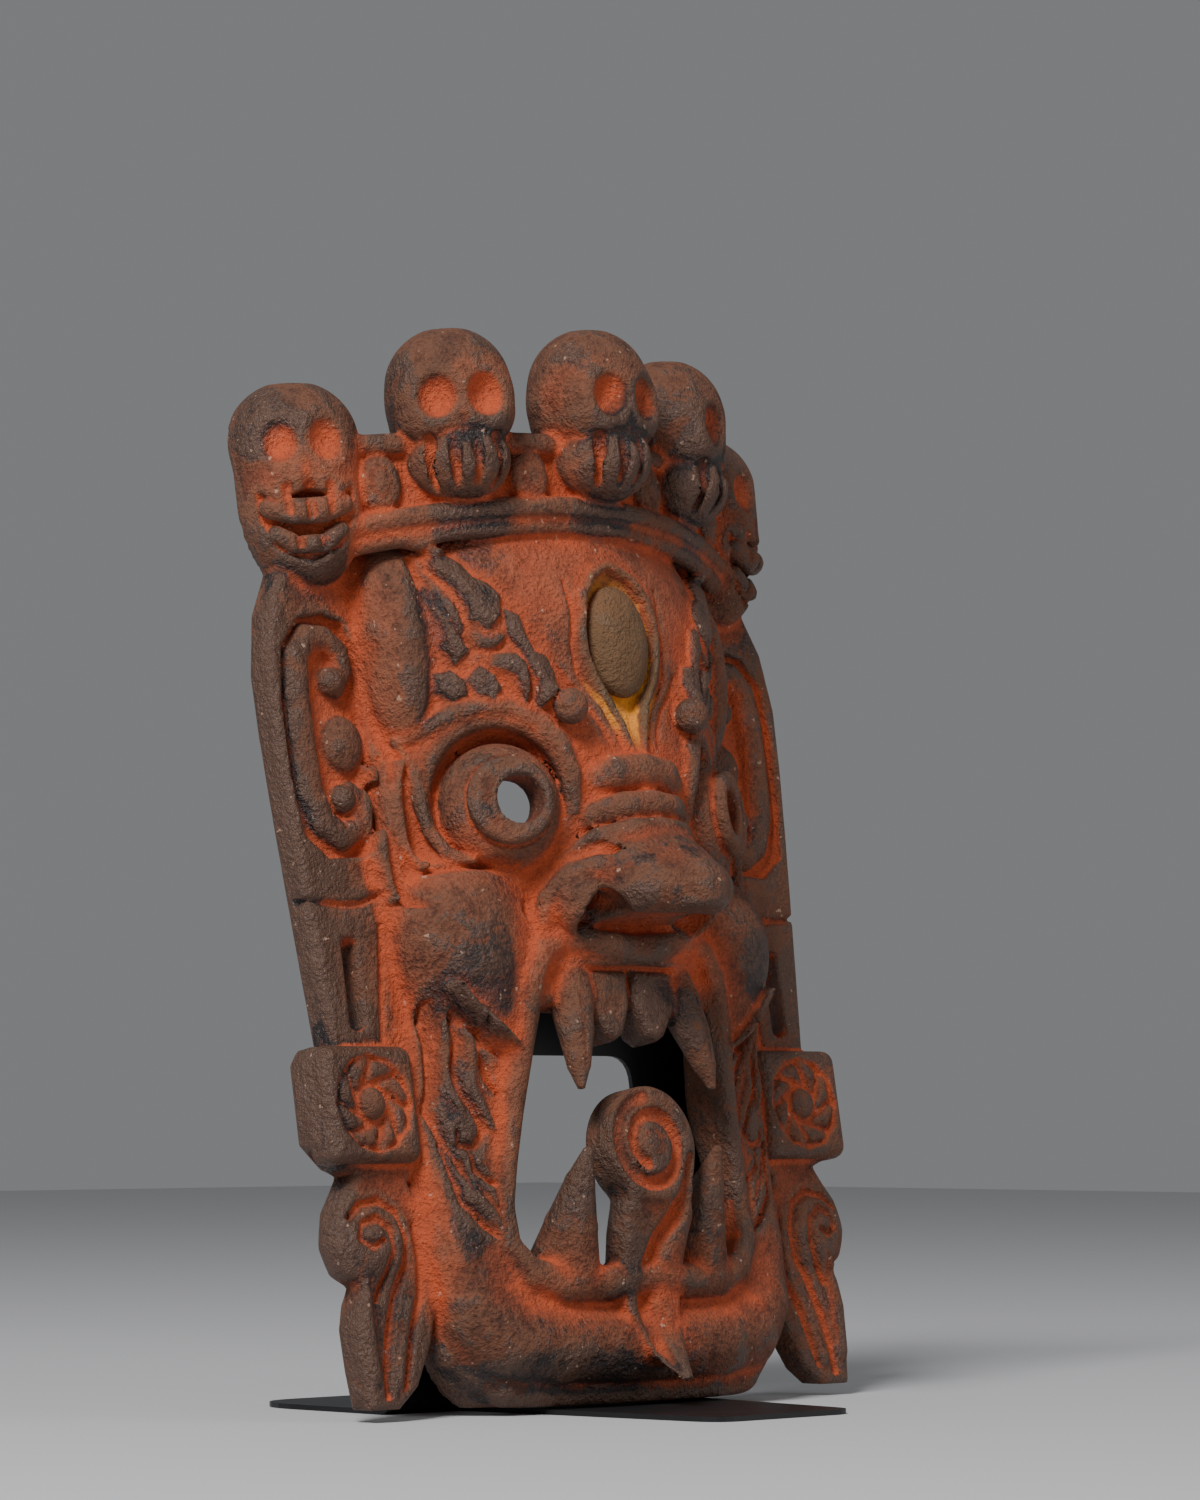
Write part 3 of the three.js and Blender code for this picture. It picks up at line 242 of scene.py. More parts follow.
def carve_here(steps, p, reach):
    """The carving's distance at points that lie close together."""
    low, high = p.min(axis=0), p.max(axis=0)
    distance = np.full(len(p), reach)
    for step in steps:
        margin = step.soft + (reach if step.kind == "add" else 0.0)
        if (step.shape.low - margin > high).any() or (step.shape.high + margin < low).any():
            continue
        shape = step.shape.distance(p)
        if step.kind == "add":
            distance = soft_min(distance, shape, step.soft)
        elif step.kind == "cut":
            distance = soft_max(distance, -shape, step.soft)
        else:
            within = (p[:, 2] > step.shape.low[2]) & (p[:, 2] < step.shape.high[2])
            distance = distance - np.where(within, shape, 0.0)
    return distance


BIN = 14.0
BIN_SPAN = 200  # more bins than the carving crosses in any direction
REACH = 6.0  # distances are worked out this far from the surface


def carve(steps, p, reach=REACH):
    """The carving's distance at any points, worked out bin by bin."""
    i, j, k = np.floor(p / BIN).astype(int).T + BIN_SPAN // 2
    keys = i + BIN_SPAN * (j + BIN_SPAN * k)
    order = np.argsort(keys, kind="stable")
    edges = np.flatnonzero(np.diff(keys[order])) + 1
    distance = np.empty(len(p))
    for chosen in np.split(order, edges):
        distance[chosen] = carve_here(steps, p[chosen], reach)
    return distance


def group(steps, centre, turn_degrees, reach):
    """A small carving of its own, turned about its upright and set in place."""
    centre = np.array(centre, float)
    turn = math.radians(turn_degrees)
    cosine, sine = math.cos(turn), math.sin(turn)
    rotation = np.array([[cosine, 0, sine], [0, 1, 0], [-sine, 0, cosine]])

    def distance(p):
        return carve_here(steps, (p - centre) @ rotation, 1e3)

    return form(distance, centre - reach, centre + reach)


CROWN_TOP_Y = 275.0
CROWN_LOW_Y = 254.0
CROWN_FRONT_Z = 35.0
CROWN_BEND = 0.0042  # how fast the crown falls back towards the sides
CROWN_END_X = 88.0
PLATE_INNER_X = 60.0


def crown_z(x):
    return CROWN_FRONT_Z - CROWN_BEND * x * x


def low_ledge_y(x):
    return CROWN_LOW_Y - 0.0009 * x * x


def face_masses():
    return [
        add(ellipsoid((0, 222, -20), (76, 58, 58))),
        add(ellipsoid((0, 180, -22), (73, 70, 59)), 10),
        add(ellipsoid((0, 112, -20), (68, 60, 47)), 10),
        add(rounded_box((0, 58, -16), (71, 64, 27), 24), 10),
        add(ellipsoid((53, 128, 4), (20, 24, 20)), 11),
        add(ellipsoid((48, 108, 7), (13, 15, 12)), 6),
        add(ellipsoid((71, 162, -4), (8, 30, 9)), 5),
        add(strand([
            (58, 106, 1, 10), (59, 90, -1, 11), (60, 75, -2, 11.5), (60, 60, -3, 11), (58, 46, -2, 10),
        ]), 5),
    ]


def temple():
    return [
        add(ellipsoid((63.2, 216, 4.6), (9.6, 30, 13.4)), 2.6),
        groove([(60.5, 240, 1.5), (59.4, 231, 2), (56.4, 225, 2), (53.6, 219, 2), (51, 213, 1.5)], 2.2),
        cut(ellipsoid((61, 238.3, 15), (1.7, 1.7, 6)), 0.4),
    ]


def crown_wall():
    def distance(p):
        x, y, z = p.T
        depth = np.abs(z - crown_z(x) + 9.0) - 7.0
        return np.maximum.reduce([depth, low_ledge_y(x) - y, y - CROWN_TOP_Y, x - CROWN_END_X]) * 0.85

    return form(distance, (0, 236, -30), (CROWN_END_X, CROWN_TOP_Y, CROWN_FRONT_Z))


def ledge(height_at, proud, radius):
    xs = np.arange(0.0, CROWN_END_X + 1, 11.0)
    return strand([(x, height_at(x), crown_z(x) + proud, radius) for x in xs])


def medallion(x):
    turn = math.degrees(math.atan(2 * CROWN_BEND * x))
    steps = [
        add(ellipsoid((0, 0, 0), (6.5, 9, 4))),
        cut(ellipsoid((0, 0, 5.5), (5.2, 7.4, 3.2)), 0.6),
        add(ellipsoid((0, 0, 1), (4, 6, 3)), 0.6),
    ]
    return group(steps, (x, (CROWN_TOP_Y + low_ledge_y(x)) / 2, crown_z(x) - 1), turn, 10)


def crown():
    steps = [
        add(crown_wall(), 3),
        add(ledge(lambda x: CROWN_TOP_Y - 1, -0.5, 3.2), 1.5),
        add(ledge(lambda x: low_ledge_y(x) + 1, -0.5, 3.4), 1.5),
        add(ledge(lambda x: low_ledge_y(x) - 4, -2.5, 3.0), 1.5),
    ]
    steps += [add(medallion(x), 1) for x in (25, 69)]
    return steps


def sockets(y, z):
    """Two scooped eye sockets."""
    return [cut(ellipsoid((side * 8, y, z + 3), (6.4, 7.4, 7.2)), 2) for side in (-1, 1)]


def plain_skull():
    """A skull facing z, about the middle of its cranium, with its teeth in a block below."""
    jaw_line = [
        (-17, -16, 9, 1.4), (-9, -18.5, 16, 1.4), (0, -15, 18.5, 1.4), (9, -18.5, 16, 1.4), (17, -16, 9, 1.4),
    ]
    steps = [
        add(ellipsoid((0, 1, 0), (18.6, 17.8, 17.8))),
        add(rounded_box((0, -7, 1), (17.6, 12.5, 16.3), 11), 4),
        cut(ellipsoid((-1, 18.8, 3), (6.5, 4, 5.5)), 1),
        add(ellipsoid((0, -22, 1.5), (15.6, 12.5, 14.8)), 0.6),
        cut(strand(jaw_line), 0.8),
        cut(strand([(0, -18, 18, 3.4), (0, -10.5, 18.5, 1)]), 1.5),
    ]
    for x, lean in ((-10.5, 2.5), (-3.7, 0.8), (3.7, -0.8), (10.5, -2.5)):
        z = 17.2 - 0.045 * x * x
        steps.append(cut(strand([(x, -18.5, z, 2.6), (x + lean, -35, z - 7, 0.8)]), 0.8))
    return steps + sockets(-6, 16)


def grinning_skull():
    """A long skull whose open mouth shows two rows of teeth."""
    smile = [
        (-14, -14), (-9, -18), (0, -15), (9, -18), (14, -14),
        (14.5, -23), (10, -32), (0, -36.5), (-10, -32), (-14.5, -23),
    ]
    upper = [(-10.5, -19.5, 10.5, 3.2), (-4, -21.5, 13.2, 3.8), (4, -21.5, 13.2, 3.8), (10.5, -19.5, 10.5, 3.2)]
    lower = [(-9.5, -26.8, 9.5, 2.4), (-4, -30.8, 11, 2.7), (4, -30.8, 11, 2.7), (9.5, -26.8, 9.5, 2.4)]
    steps = [
        add(ellipsoid((0, 2, 0), (19.5, 18.5, 17.8))),
        add(ellipsoid((0, -16, -2), (19, 26, 19)), 6),
        cut(ellipsoid((-1, 19.3, 3), (6.5, 4, 5.5)), 1),
        cut(slab(polygon(smile), (-15, -37), (15, -14), 8.5, 24, 2), 0.8),
        add(strand(upper), 0.5),
        add(strand(lower), 0.5),
    ]
    for x in (-7, -0.5, 6):
        steps.append(cut(strand([(x, -15, 16, 1.9), (x, -26, 16, 1.6)]), 0.5))
    for x in (-4, 3):
        steps.append(cut(strand([(x, -28, 13.2, 1.8), (x, -35, 12.4, 1.5)]), 0.5))
    steps.append(cut(strand([(0, -14, 18.5, 2.6), (0, -9, 18, 0.9)]), 1.2))
    return steps + sockets(-1, 16.5)


def skulls():
    plain, grinning = plain_skull(), grinning_skull()
    return [
        add(group(plain, (0, 291, 37), 0, 43), 1.5),
        add(group(plain, (46.5, 290, 24.5), 32, 43), 1.5),
        add(group(grinning, (86.5, 275, -2), 32, 48), 1.5),
    ]


BOARD_OUTLINE = [
    (64, 250), (86, 250), (97, 240), (104, 226), (107, 208), (106.5, 190), (105, 168), (103, 144), (101, 121),
    (99, 99), (106, 99), (109, 95), (109, 72), (102, 65), (97, 63), (99, 60), (104, 53), (106, 43), (103, 35),
    (97, 32), (100, 27), (102, 20), (101.5, 8), (100, -4), (89, -4), (81, 2), (74, 14), (70, 27), (70, 44),
    (72, 53), (76, 60), (71, 66), (71, 98), (64, 120),
]


def board():
    return slab(polygon(BOARD_OUTLINE), (60, TASSEL_TIP_Y), (110, 251), -PLATE, 0, 2.5)


def jaw():
    band = [
        (69, 96, -8, 9), (65, 76, -6, 9), (64, 60, -4, 9), (64, 40, -1, 9), (60, 22, 2, 9), (50, 13, 4.5, 9.5),
        (33, 10, 6.5, 10), (0, 9, 9, 10),
    ]
    return [
        add(strand(band), 6),
        add(strand([(64, 12, -4, 6), (50, 1, 0, 6), (30, -2, 2, 6), (0, -3, 4, 6)]), 1),
    ]


def mouth_rim():
    half = [
        (0, 123.5, 25, 5.4), (10, 125, 25, 5.4), (19, 127, 23.5, 5), (27, 127, 21.5, 4.6),
        (33.5, 124, 20.5, 4.8), (37.8, 117, 19.5, 4.8), (40.8, 104, 16.5, 4.9), (42.7, 92, 14.5, 4.7),
        (45, 78, 12, 4.2), (47.5, 64, 10, 4), (49.5, 50, 8, 4), (49, 40, 8, 4.8), (43, 32, 9, 5.8),
        (32, 28, 11, 5.8), (16, 28, 13, 5.6), (0, 29, 14, 5.6),
    ]
    return [add(strand(half), 1.5)]


def beard():
    steps = [
        ridge([(66, 114, 1.8), (61, 108, 2.8), (54, 102.3, 2.8), (45, 96.5, 1.6)], 2.6),
        groove([(63, 106.5, 1.4), (60, 103, 2.2), (53, 97.2, 2.2), (47, 93.5, 1.4)], 2.2),
    ]
    flames = [
        [
            (64, 108), (61.5, 99), (63.5, 91), (61, 83.5), (57.5, 79), (55, 73), (58, 68.5), (63, 69),
            (63.5, 73.5),
        ],
        [(68.4, 111), (67.5, 100), (68.2, 88), (70, 80), (67.5, 71), (63.5, 63.5), (60.5, 56)],
        [(60, 68), (58.6, 62), (55.2, 58.5), (51.5, 57)],
        [(56.5, 106), (55, 96), (52.3, 88), (48.5, 82)],
        [(68.5, 70), (66, 62), (64, 53), (58, 46), (53, 42)],
    ]
    steps += [groove(evenly(path, 1.9), 2.1) for path in flames]
    locks = [
        [(59.5, 103), (58, 94), (58.5, 86), (55, 79), (51.5, 73)],
        [(65.5, 104), (65.5, 95), (66, 86), (62, 79)],
        [(58, 64), (56.5, 60.5), (54, 52)],
        [(62.5, 60), (60, 54), (55.5, 49), (53.5, 46)],
    ]
    steps += [ridge(evenly(path, 2.6), 1.2) for path in locks]
    return steps


def nose():
    steps = [add(ellipsoid((0, 166, 19.5), (21, 34, 19)), 5)]
    rolls = [
        [(0, 174.5, 38, 5.8), (10, 174, 36.5, 5.6), (18, 172.5, 31, 5), (24, 169, 22, 3)],
        [(0, 164, 40.5, 4.6), (10, 163.5, 39, 4.4), (18, 162, 33, 4), (24, 158, 24, 2.5)],
        [(0, 157, 43, 3), (10, 156.5, 41.5, 3), (19, 154.5, 35, 3), (26, 150, 27, 2)],
    ]
    wing = [
        (32, 130, 21, 3.2), (31, 138, 25, 3.8), (27, 143.5, 31, 4), (21.5, 145.4, 36.5, 3.9),
        (16.5, 142.5, 41.5, 3.5), (13, 136, 45, 2.8),
    ]
    over_wing = [(37, 134, 19, 1.2), (35.5, 143, 24.5, 1.9), (29, 150, 31, 2), (20.5, 151.6, 37.5, 2),
                 (12.5, 147, 44.5, 1.4)]
    steps += [add(strand(roll), 0.4) for roll in rolls]
    steps += [
        add(ellipsoid((0, 146, 34), (22, 11, 18)), 4),
        add(strand([(0, 148, 38, 9), (0, 142, 46, 10), (0, 136, 53, 10.5)]), 4),
        add(ellipsoid((9, 138, 40), (13, 10, 17)), 5),
        add(ellipsoid((23, 139, 25), (10, 12, 14)), 4),
        add(strand(wing), 1.0),
        cut(rounded_box((0, 117.5, 58), (60, 12.5, 24), 3), 1.5),
        cut(ellipsoid((21, 131.5, 35), (6.2, 8.6, 10)), 0.8),
        cut(strand(over_wing), 1.2),
    ]
    return steps


def under_nose():
    """The hollow between the nose and the upper lip."""
    return cut(ellipsoid((0, 130, 36), (24, 2.5, 12)), 1.5)


def mouth_opening():
    half = [
        (33, 119), (35.5, 104), (38.3, 92), (41, 80), (44, 66), (46.5, 52), (46.3, 41), (42, 36), (36, 34.5),
        (16, 33),
    ]
    outline = polygon([(-x, y) for x, y in half] + [(x, y) for x, y in reversed(half)])
    return cut(slab(outline, (0, 30), (48, 120), -60, 60, 5), 1.5)


def teeth():
    fang_up = [
        (21, 118, 17, 7.5), (22.5, 110, 20, 6.6), (24.5, 100, 22.5, 5.4), (26.5, 90, 24, 3.6),
        (27.5, 83.5, 24.8, 1.4),
    ]
    fang_low = [(27, 33, 8, 11), (27, 44, 13, 8), (27.2, 56, 19, 4.6), (27.3, 64.5, 24, 1.6)]
    incisor = [(1, 118), (18.6, 118), (17.8, 107), (12, 98.5), (9, 97), (5.4, 99), (1.4, 107)]
    return [
        add(rounded_box((0, 115, 13), (36, 7, 8), 3), 2),
        add(slab(polygon(incisor), (1, 97), (18.6, 118), 11, 24, 2.4), 0.4),
        add(strand(fang_up), 0.8),
        add(strand(fang_low), 1.2),
        groove([(24, 112, 0.8), (26, 98, 1), (27, 88, 0.8)], 0.5),
    ]


TONGUE_LOW = np.array([-22.0, -9.0, 2.0])
TONGUE_HIGH = np.array([22.0, 86.0, 34.0])


def tongue():
    """The tongue turns up into a scroll. It is the one part that differs left and right."""
    def body(p):
        x, y, z = p.T
        stations = [-3, 2, 7, 15, 26, 42, 53, 62]
        front = np.interp(y, stations, [29, 26, 22.5, 17.5, 17.5, 22.5, 26, 26])
        half = np.interp(y, stations, [2.2, 4.2, 6.6, 10.3, 12.2, 13.6, 13, 12])
        thick = np.interp(y, stations, [3, 4.5, 7, 9, 10, 10, 11, 12])
        across = np.abs(x - np.interp(y, stations, [-1, -1, -0.5, 0, 0, 0, 1, 3])) - half
        through = np.abs(z - front + thick / 2) - thick / 2
        ends = np.maximum(-3.0 - y, y - 66.0)
        return np.maximum(rounded(across, through, 2.5), ends) * 0.8

    def scroll(p):
        around = np.hypot(p[:, 0] + 0.5, p[:, 1] - 66.3) - 17.3
        return rounded(around, np.abs(p[:, 2] - 19.5) - 7, 3)

    turns = [(x, y, 26.3, width) for x, y, width in spiral((-2.0, 66.3), 14.0, 6.4, -1.4, 98, 2.9)]
    swell = [(9.5, 46, 20, 5), (6.5, 36, 15.5, 5), (4.5, 24, 13, 5), (3, 12, 15.2, 4), (1, 4, 20.5, 3)]
    furrow = [
        (13.4, 62, 26.6, 2), (9.5, 52, 26, 2.7), (5, 44, 23.2, 3), (0, 38.5, 21.4, 3.2), (-3, 31, 18.8, 3.2),
        (-4.4, 21, 17.2, 3.1), (-4.4, 12.6, 18.6, 2.8), (-3.9, 5, 23.8, 2.2), (-2.6, -1, 28, 1.3),
    ]
    return [
        add(form(body, (-16, -3, 4), (16, 66, 30))),
        add(form(scroll, (-18, 48, 12), (18, 84, 27)), 2),
        add(strand(swell), 2),
        cut(strand(turns), 0.8),
        cut(strand(furrow), 1.0),
        add(ellipsoid((-2.0, 66.3, 23.5), (4.6, 4.6, 4.2)), 0.6),
    ]


def spiral(centre, outer, inner, turns, start_degrees, width, steps=26):
    """A flat path [x, y, half width] that winds inwards; turns below zero wind clockwise."""
    path = []
    for i in range(steps + 1):
        t = i / steps
        angle = math.radians(start_degrees - t * turns * 360)
        radius = outer + (inner - outer) * t
        x, y = centre[0] + radius * math.cos(angle), centre[1] + radius * math.sin(angle)
        path.append((x, y, width * (1 - 0.3 * t)))
    return path


EYE_CENTRE = (39.0, 166.0, 16.0)
EYE_RADIUS = 18.6
EYE_TURN = 29.0
EYE_HOLE_RADIUS = 7.2
EYE_HOLE_TURN = 20.0
FUNNEL_START = 7.0  # the hole opens like a funnel behind this depth
FUNNEL_SLOPE = 0.7
SOCKET_WALL = 5.0
EYE_SOCKET = ellipsoid((45, 168, 23), (21, 21, 18))


def eye():
    def iris(p):
        around = np.abs(np.hypot(p[:, 0], p[:, 1]) - 9.7) - 1.2
        return np.hypot(np.maximum(around, 0), (p[:, 2] - EYE_RADIUS + 3.4)) - 2.2

    def ring_groove(p):
        return np.hypot(np.hypot(p[:, 0], p[:, 1]) - 13.2, p[:, 2] - 13.6) - 1.1

    ball = [
        add(ellipsoid((0, 0, 0), (EYE_RADIUS, EYE_RADIUS + 1, EYE_RADIUS))),
        cut(form(ring_groove, (-15, -15, 11), (15, 15, 16)), 0.8),
        add(form(iris, (-13, -13, 10), (13, 13, 22)), 0.8),
    ]
    upper = [
        (66.5, 187.3, 6, 1.6), (60, 190, 11, 2.6), (53.5, 194, 16, 3.2), (46.5, 196, 21, 3.5),
        (38.5, 194.5, 26, 3.7), (32, 190, 30, 3.7), (27.8, 183, 33, 3.5), (25, 174, 34, 3), (23.5, 164, 32, 2),
    ]
    lower = [
        (65.5, 186, 6, 1.2), (62.6, 178, 8, 1.9), (62.6, 168, 9, 2), (61.5, 160, 10, 2), (58.5, 153.5, 13, 2),
        (52, 150, 17, 1.4),
    ]
    return [
        cut(EYE_SOCKET, 2.5),
        add(group(ball, EYE_CENTRE, EYE_TURN, 24), 1.5),
        add(strand(upper), 1.5),
        add(strand(lower), 1.5),
    ]


def eye_hole():
    turn = math.radians(EYE_HOLE_TURN)
    cosine, sine = math.cos(turn), math.sin(turn)

    def distance(p):
        dx, dz = p[:, 0] - EYE_CENTRE[0], p[:, 2] - EYE_CENTRE[2]
        across, depth = dx * cosine - dz * sine, dx * sine + dz * cosine
        radius = EYE_HOLE_RADIUS + np.maximum(FUNNEL_START - depth, 0.0) * FUNNEL_SLOPE
        return np.maximum(np.hypot(across, p[:, 1] - EYE_CENTRE[1]) - radius, -depth - 20.0) * 0.85

    return cut(form(distance, (10, 140, -14), (72, 192, 50)), 0.8)


def nostril():
    return cut(strand([(17, 130, 40, 3.6), (19, 137, 30, 3.6), (20, 152, 12, 3.6), (20, 154, -30, 3.6)]), 1)


BROW_FLAMES = [
    [
        (57.4, 242), (53.5, 242.5), (49.3, 238), (47.5, 233.5), (43.6, 231), (40.8, 227), (42.5, 221),
        (46.5, 217.5), (50, 220.5), (51, 227), (53.6, 231.5), (56.5, 236),
    ],
    [
        (40.6, 223), (36.5, 221), (34.7, 214), (33.2, 210), (29.4, 209), (27.6, 204), (28.6, 198),
        (33.2, 192.5), (35, 195), (33.8, 201), (36.6, 206), (38.7, 211), (40.7, 216),
    ],
    [
        (44.3, 209.5), (39.3, 209.2), (36.7, 206), (36.2, 199.6), (36.3, 194), (38.2, 198), (40.4, 202.5),
        (43.2, 204.7), (46, 206.5),
    ],
    [
        (59.5, 233), (56.6, 228), (53.8, 223), (51.8, 218), (50.5, 212), (53.5, 208), (56, 213), (55.6, 219),
        (58, 225), (60.3, 230),
    ],
    [(48, 206.5), (44.6, 203.6), (42.6, 199.5), (45, 196.6), (49, 198.5), (51, 203)],
    [(54.5, 206), (51.8, 203), (50.8, 199), (54.5, 197.3), (58, 200.5), (58.5, 205.5)],
]


def brow():
    vein = [
        (57.5, 236.5, 1.4), (54.6, 230.5, 1.8), (52.2, 225, 1.8), (50.5, 217, 1.8), (48.8, 211.5, 2),
        (44, 210.5, 2), (40.3, 213.5, 1.8), (37.8, 210.5, 1.6), (35.8, 205, 1.6), (35, 198, 1.4),
        (34.8, 193, 1),
    ]
    beside_third_eye = [
        (19.3, 232, 0.8), (18, 222, 1.3), (19, 213, 1.4), (18.2, 205, 1.4), (14.6, 199.5, 1.4),
        (9.8, 194.5, 1.3), (7.2, 188.5, 1.2), (5.6, 181, 0.8),
    ]
    steps = [
        ridge([(58, 240, 7), (52, 226, 9), (44, 212, 10), (33, 200, 9), (26, 194, 6)], 2.2),
        groove(vein, 1.2),
    ]
    steps += [plateau(flame, 2.2, 1.1) for flame in BROW_FLAMES]
    steps += [
        ridge([(49.8, 216, 1.5), (48.6, 213.6, 2), (45.5, 212.3, 2), (42.8, 214.3, 1.6)], 1.2),
        add(ellipsoid((25.6, 193, 38), (5.2, 5.4, 5)), 0.8),
        groove(beside_third_eye, 1.3),
        groove([(24.5, 206, 0.8), (21, 200, 1.2), (15.5, 194, 1.3), (11.5, 188, 1.2), (10, 182, 0.8)], 1.0),
    ]
    return steps


def third_eye():
    half = [
        (0, 237), (7, 233.5), (12, 227), (13.8, 218), (13.4, 210), (10.6, 203), (6.4, 196.5), (3.2, 189),
        (1.2, 180),
    ]
    outline = half + [(-x, y) for x, y in reversed(half[1:])]
    rim = [(x + 1.6 * (x > 2), y) for x, y in half]
    return [
        ridge([(x, y, 2.6) for x, y in rim], 1.4),
        plateau(outline, -3.6, 1.1),
        add(ellipsoid((0, 214.5, 35.2), (11.8, 17, 6)), 0.5),
    ]


def eye_leaves():
    """Leaves carved between the eye and the ear plate."""
    return [
        ridge([(74, 181, 1.6), (75.5, 168, 3.2), (75.6, 154, 3.4), (73.5, 141, 1.6)], 1.6),
        ridge([(67, 181, 1.6), (69, 170, 3), (68, 158, 3.2), (65, 150, 1.6)], 1.8),
        groove([(71, 183, 1.4), (72.4, 168, 1.8), (72, 152, 1.8), (70, 138, 1.4)], 1.3),
        groove([(40, 148, 1.4), (47, 149.5, 2), (56, 148.5, 2), (64, 148, 1.4)], 1.0),
    ]


def ear_plate():
    recess = [
        (72, 199), (72.5, 216), (76.5, 224), (84, 226), (94, 224), (101.5, 215), (103.5, 199), (103, 176),
        (100.5, 160), (92, 153.5), (76, 154.5), (73, 162),
    ]
    band = [
        (81, 205.5, 4.4), (77.4, 210, 3.8), (78, 215.4, 3.8), (83, 218.8, 4.4), (90, 218.6, 5),
        (94.8, 213, 5.4), (96, 202, 5.7), (95.8, 187, 5.7), (95, 174, 5.6), (91.4, 164.6, 5.2),
        (85, 160.6, 4.8), (79, 163.2, 4.2), (77, 169, 3.8), (80, 173.4, 3.6),
    ]
    floor = -3.6
    return [
        cut(slab(polygon(recess), (72, 153.5), (103.5, 226), floor, 10, 1.2), 1),
        add(strand([(x, y, 0.6 - width, width) for x, y, width in band]), 0.5),
        add(ellipsoid((82.4, 206.2, floor + 0.6), (4.4, 4.4, 5)), 0.4),
        add(ellipsoid((83.4, 171.4, floor + 0.6), (4.4, 4.4, 5.2)), 0.4),
        add(ellipsoid((80, 188, floor), (8, 8.6, 4.6)), 1.5),
        groove([(75, 143, 1.2), (82, 140.6, 1.8), (89, 139.8, 1.8), (97, 140.3, 1.8), (102, 141.2, 1.2)], 1.6),
        groove([(76, 134, 1.2), (77, 122, 1.8), (79, 108, 1.8), (80, 101, 1.2)], 1.3),
        cut(rounded_box((88.7, 117, -4), (3, 13.5, 20), 2.4), 0.8),
    ]


def flower():
    x, y = 90.5, 82.0
    ring = [(x + 14.4 * math.cos(a), y + 14.2 * math.sin(a)) for a in np.arange(12) * math.pi / 6]
    steps = [
        add(rounded_box((x, y, -1), (17.6, 16.8, 6), 4), 1),
        cut(slab(polygon(ring), (x - 14.4, y - 14.2), (x + 14.4, y + 14.2), 2.6, 9, 1.5), 1),
        add(ellipsoid((x, y, 2.8), (4.8, 4.8, 3.4)), 0.6),
    ]
    for petal in range(8):
        angle = 2 * math.pi * petal / 8
        bend = [(7.6, 0.0, 1.6), (10.2, 0.28, 2.7), (12.2, 0.62, 2.2)]
        swirl = [(x + r * math.cos(angle + a), y + r * math.sin(angle + a), 2.2, w) for r, a, w in bend]
        steps.append(add(strand(swirl), 0.5))
    return steps


def tassel():
    """A tassel that curls at its top and falls in broad locks."""
    curl = [
        (91.5, 43.5, 1.4), (95.4, 41.6, 2), (98.8, 44.2, 2.2), (97.6, 48.2, 2.2), (93, 49.6, 2.2),
        (88.6, 46.4, 2.2), (87.6, 40.4, 2), (90.4, 34, 1.8), (94, 27, 1.6),
    ]
    outer = [
        (101.5, 50, 1.4), (97, 53.6, 2), (90, 54.8, 2.2), (84, 51.4, 2.2), (81.4, 44, 2.2), (82.6, 36, 2.2),
        (86.8, 28, 2.2), (90.6, 18, 2.2), (93, 8, 2), (93.6, 0, 1.6),
    ]
    inner = [(77, 48, 1.6), (75.6, 38, 2), (77, 28, 2), (81.8, 18, 2), (84.6, 9, 1.8), (86.6, 2, 1.4)]
    return [
        add(ellipsoid((92, 44, -4), (14, 13.5, 8)), 3),
        ridge([(98, 32, 2), (98.6, 20, 3.6), (98, 6, 3)], 1.4),
        ridge([(82, 26, 2), (86.4, 14, 3), (89.4, 4, 2.6)], 1.0),
        groove(curl, 2.4),
        groove(outer, 2.4),
        groove(inner, 1.8),
    ]


def hollow(masses):
    """The hollow behind follows the masses one wall in, and stays clear of the eye sockets."""
    def distance(p):
        inset = carve(masses, p, 40.0) + WALL
        socket = SOCKET_WALL - EYE_SOCKET.distance(p)
        side = p[:, 0] - 69.0 + np.maximum(p[:, 2], 0.0) * 0.35
        ends = soft_max(14.0 - p[:, 1], p[:, 1] - 238.0, 4.0)
        return soft_max(soft_max(soft_max(inset, socket, 3.0), side, 6.0), ends, 6.0)

    return form(distance, (-70, 12, -90), (70, 240, 40))


def crown_hollow():
    """Behind the crown the back is cut hollow too, but the ear plates stay whole."""
    def distance(p):
        x, y, z = p.T
        plate_kept = np.minimum(x - PLATE_INNER_X, CROWN_LOW_Y - y)
        return np.maximum.reduce([z - crown_z(x) + 16.0, low_ledge_y(x) - y - 30.0, plate_kept]) * 0.85

    return form(distance, (0, 200, -90), (140, 330, 20))


def height_over_floor(y, z):
    return TIP_HEIGHT + y * math.cos(LEAN) + z * math.sin(LEAN)


def behind_bend(y, z):
    return y * math.sin(LEAN) - z * math.cos(LEAN) - TIPS_AHEAD_OF_BEND


def pocket():
    def distance(p):
        height = height_over_floor(p[:, 1], p[:, 2])
        share = np.clip(height / STAND_HEIGHT, 0.0, 1.0)
        half = (STAND_WIDTH + (STAND_TOP_WIDTH - STAND_WIDTH) * share) / 2
        behind = behind_bend(p[:, 1], p[:, 2])
        gap = POCKET_CLEARANCE
        return np.maximum.reduce([p[:, 0] - half - gap, height - STAND_HEIGHT - gap, -gap - behind])

    return cut(form(distance, (0, -30, -60), (STAND_WIDTH / 2 + 2, STAND_HEIGHT + 10, 10)), 0.5)


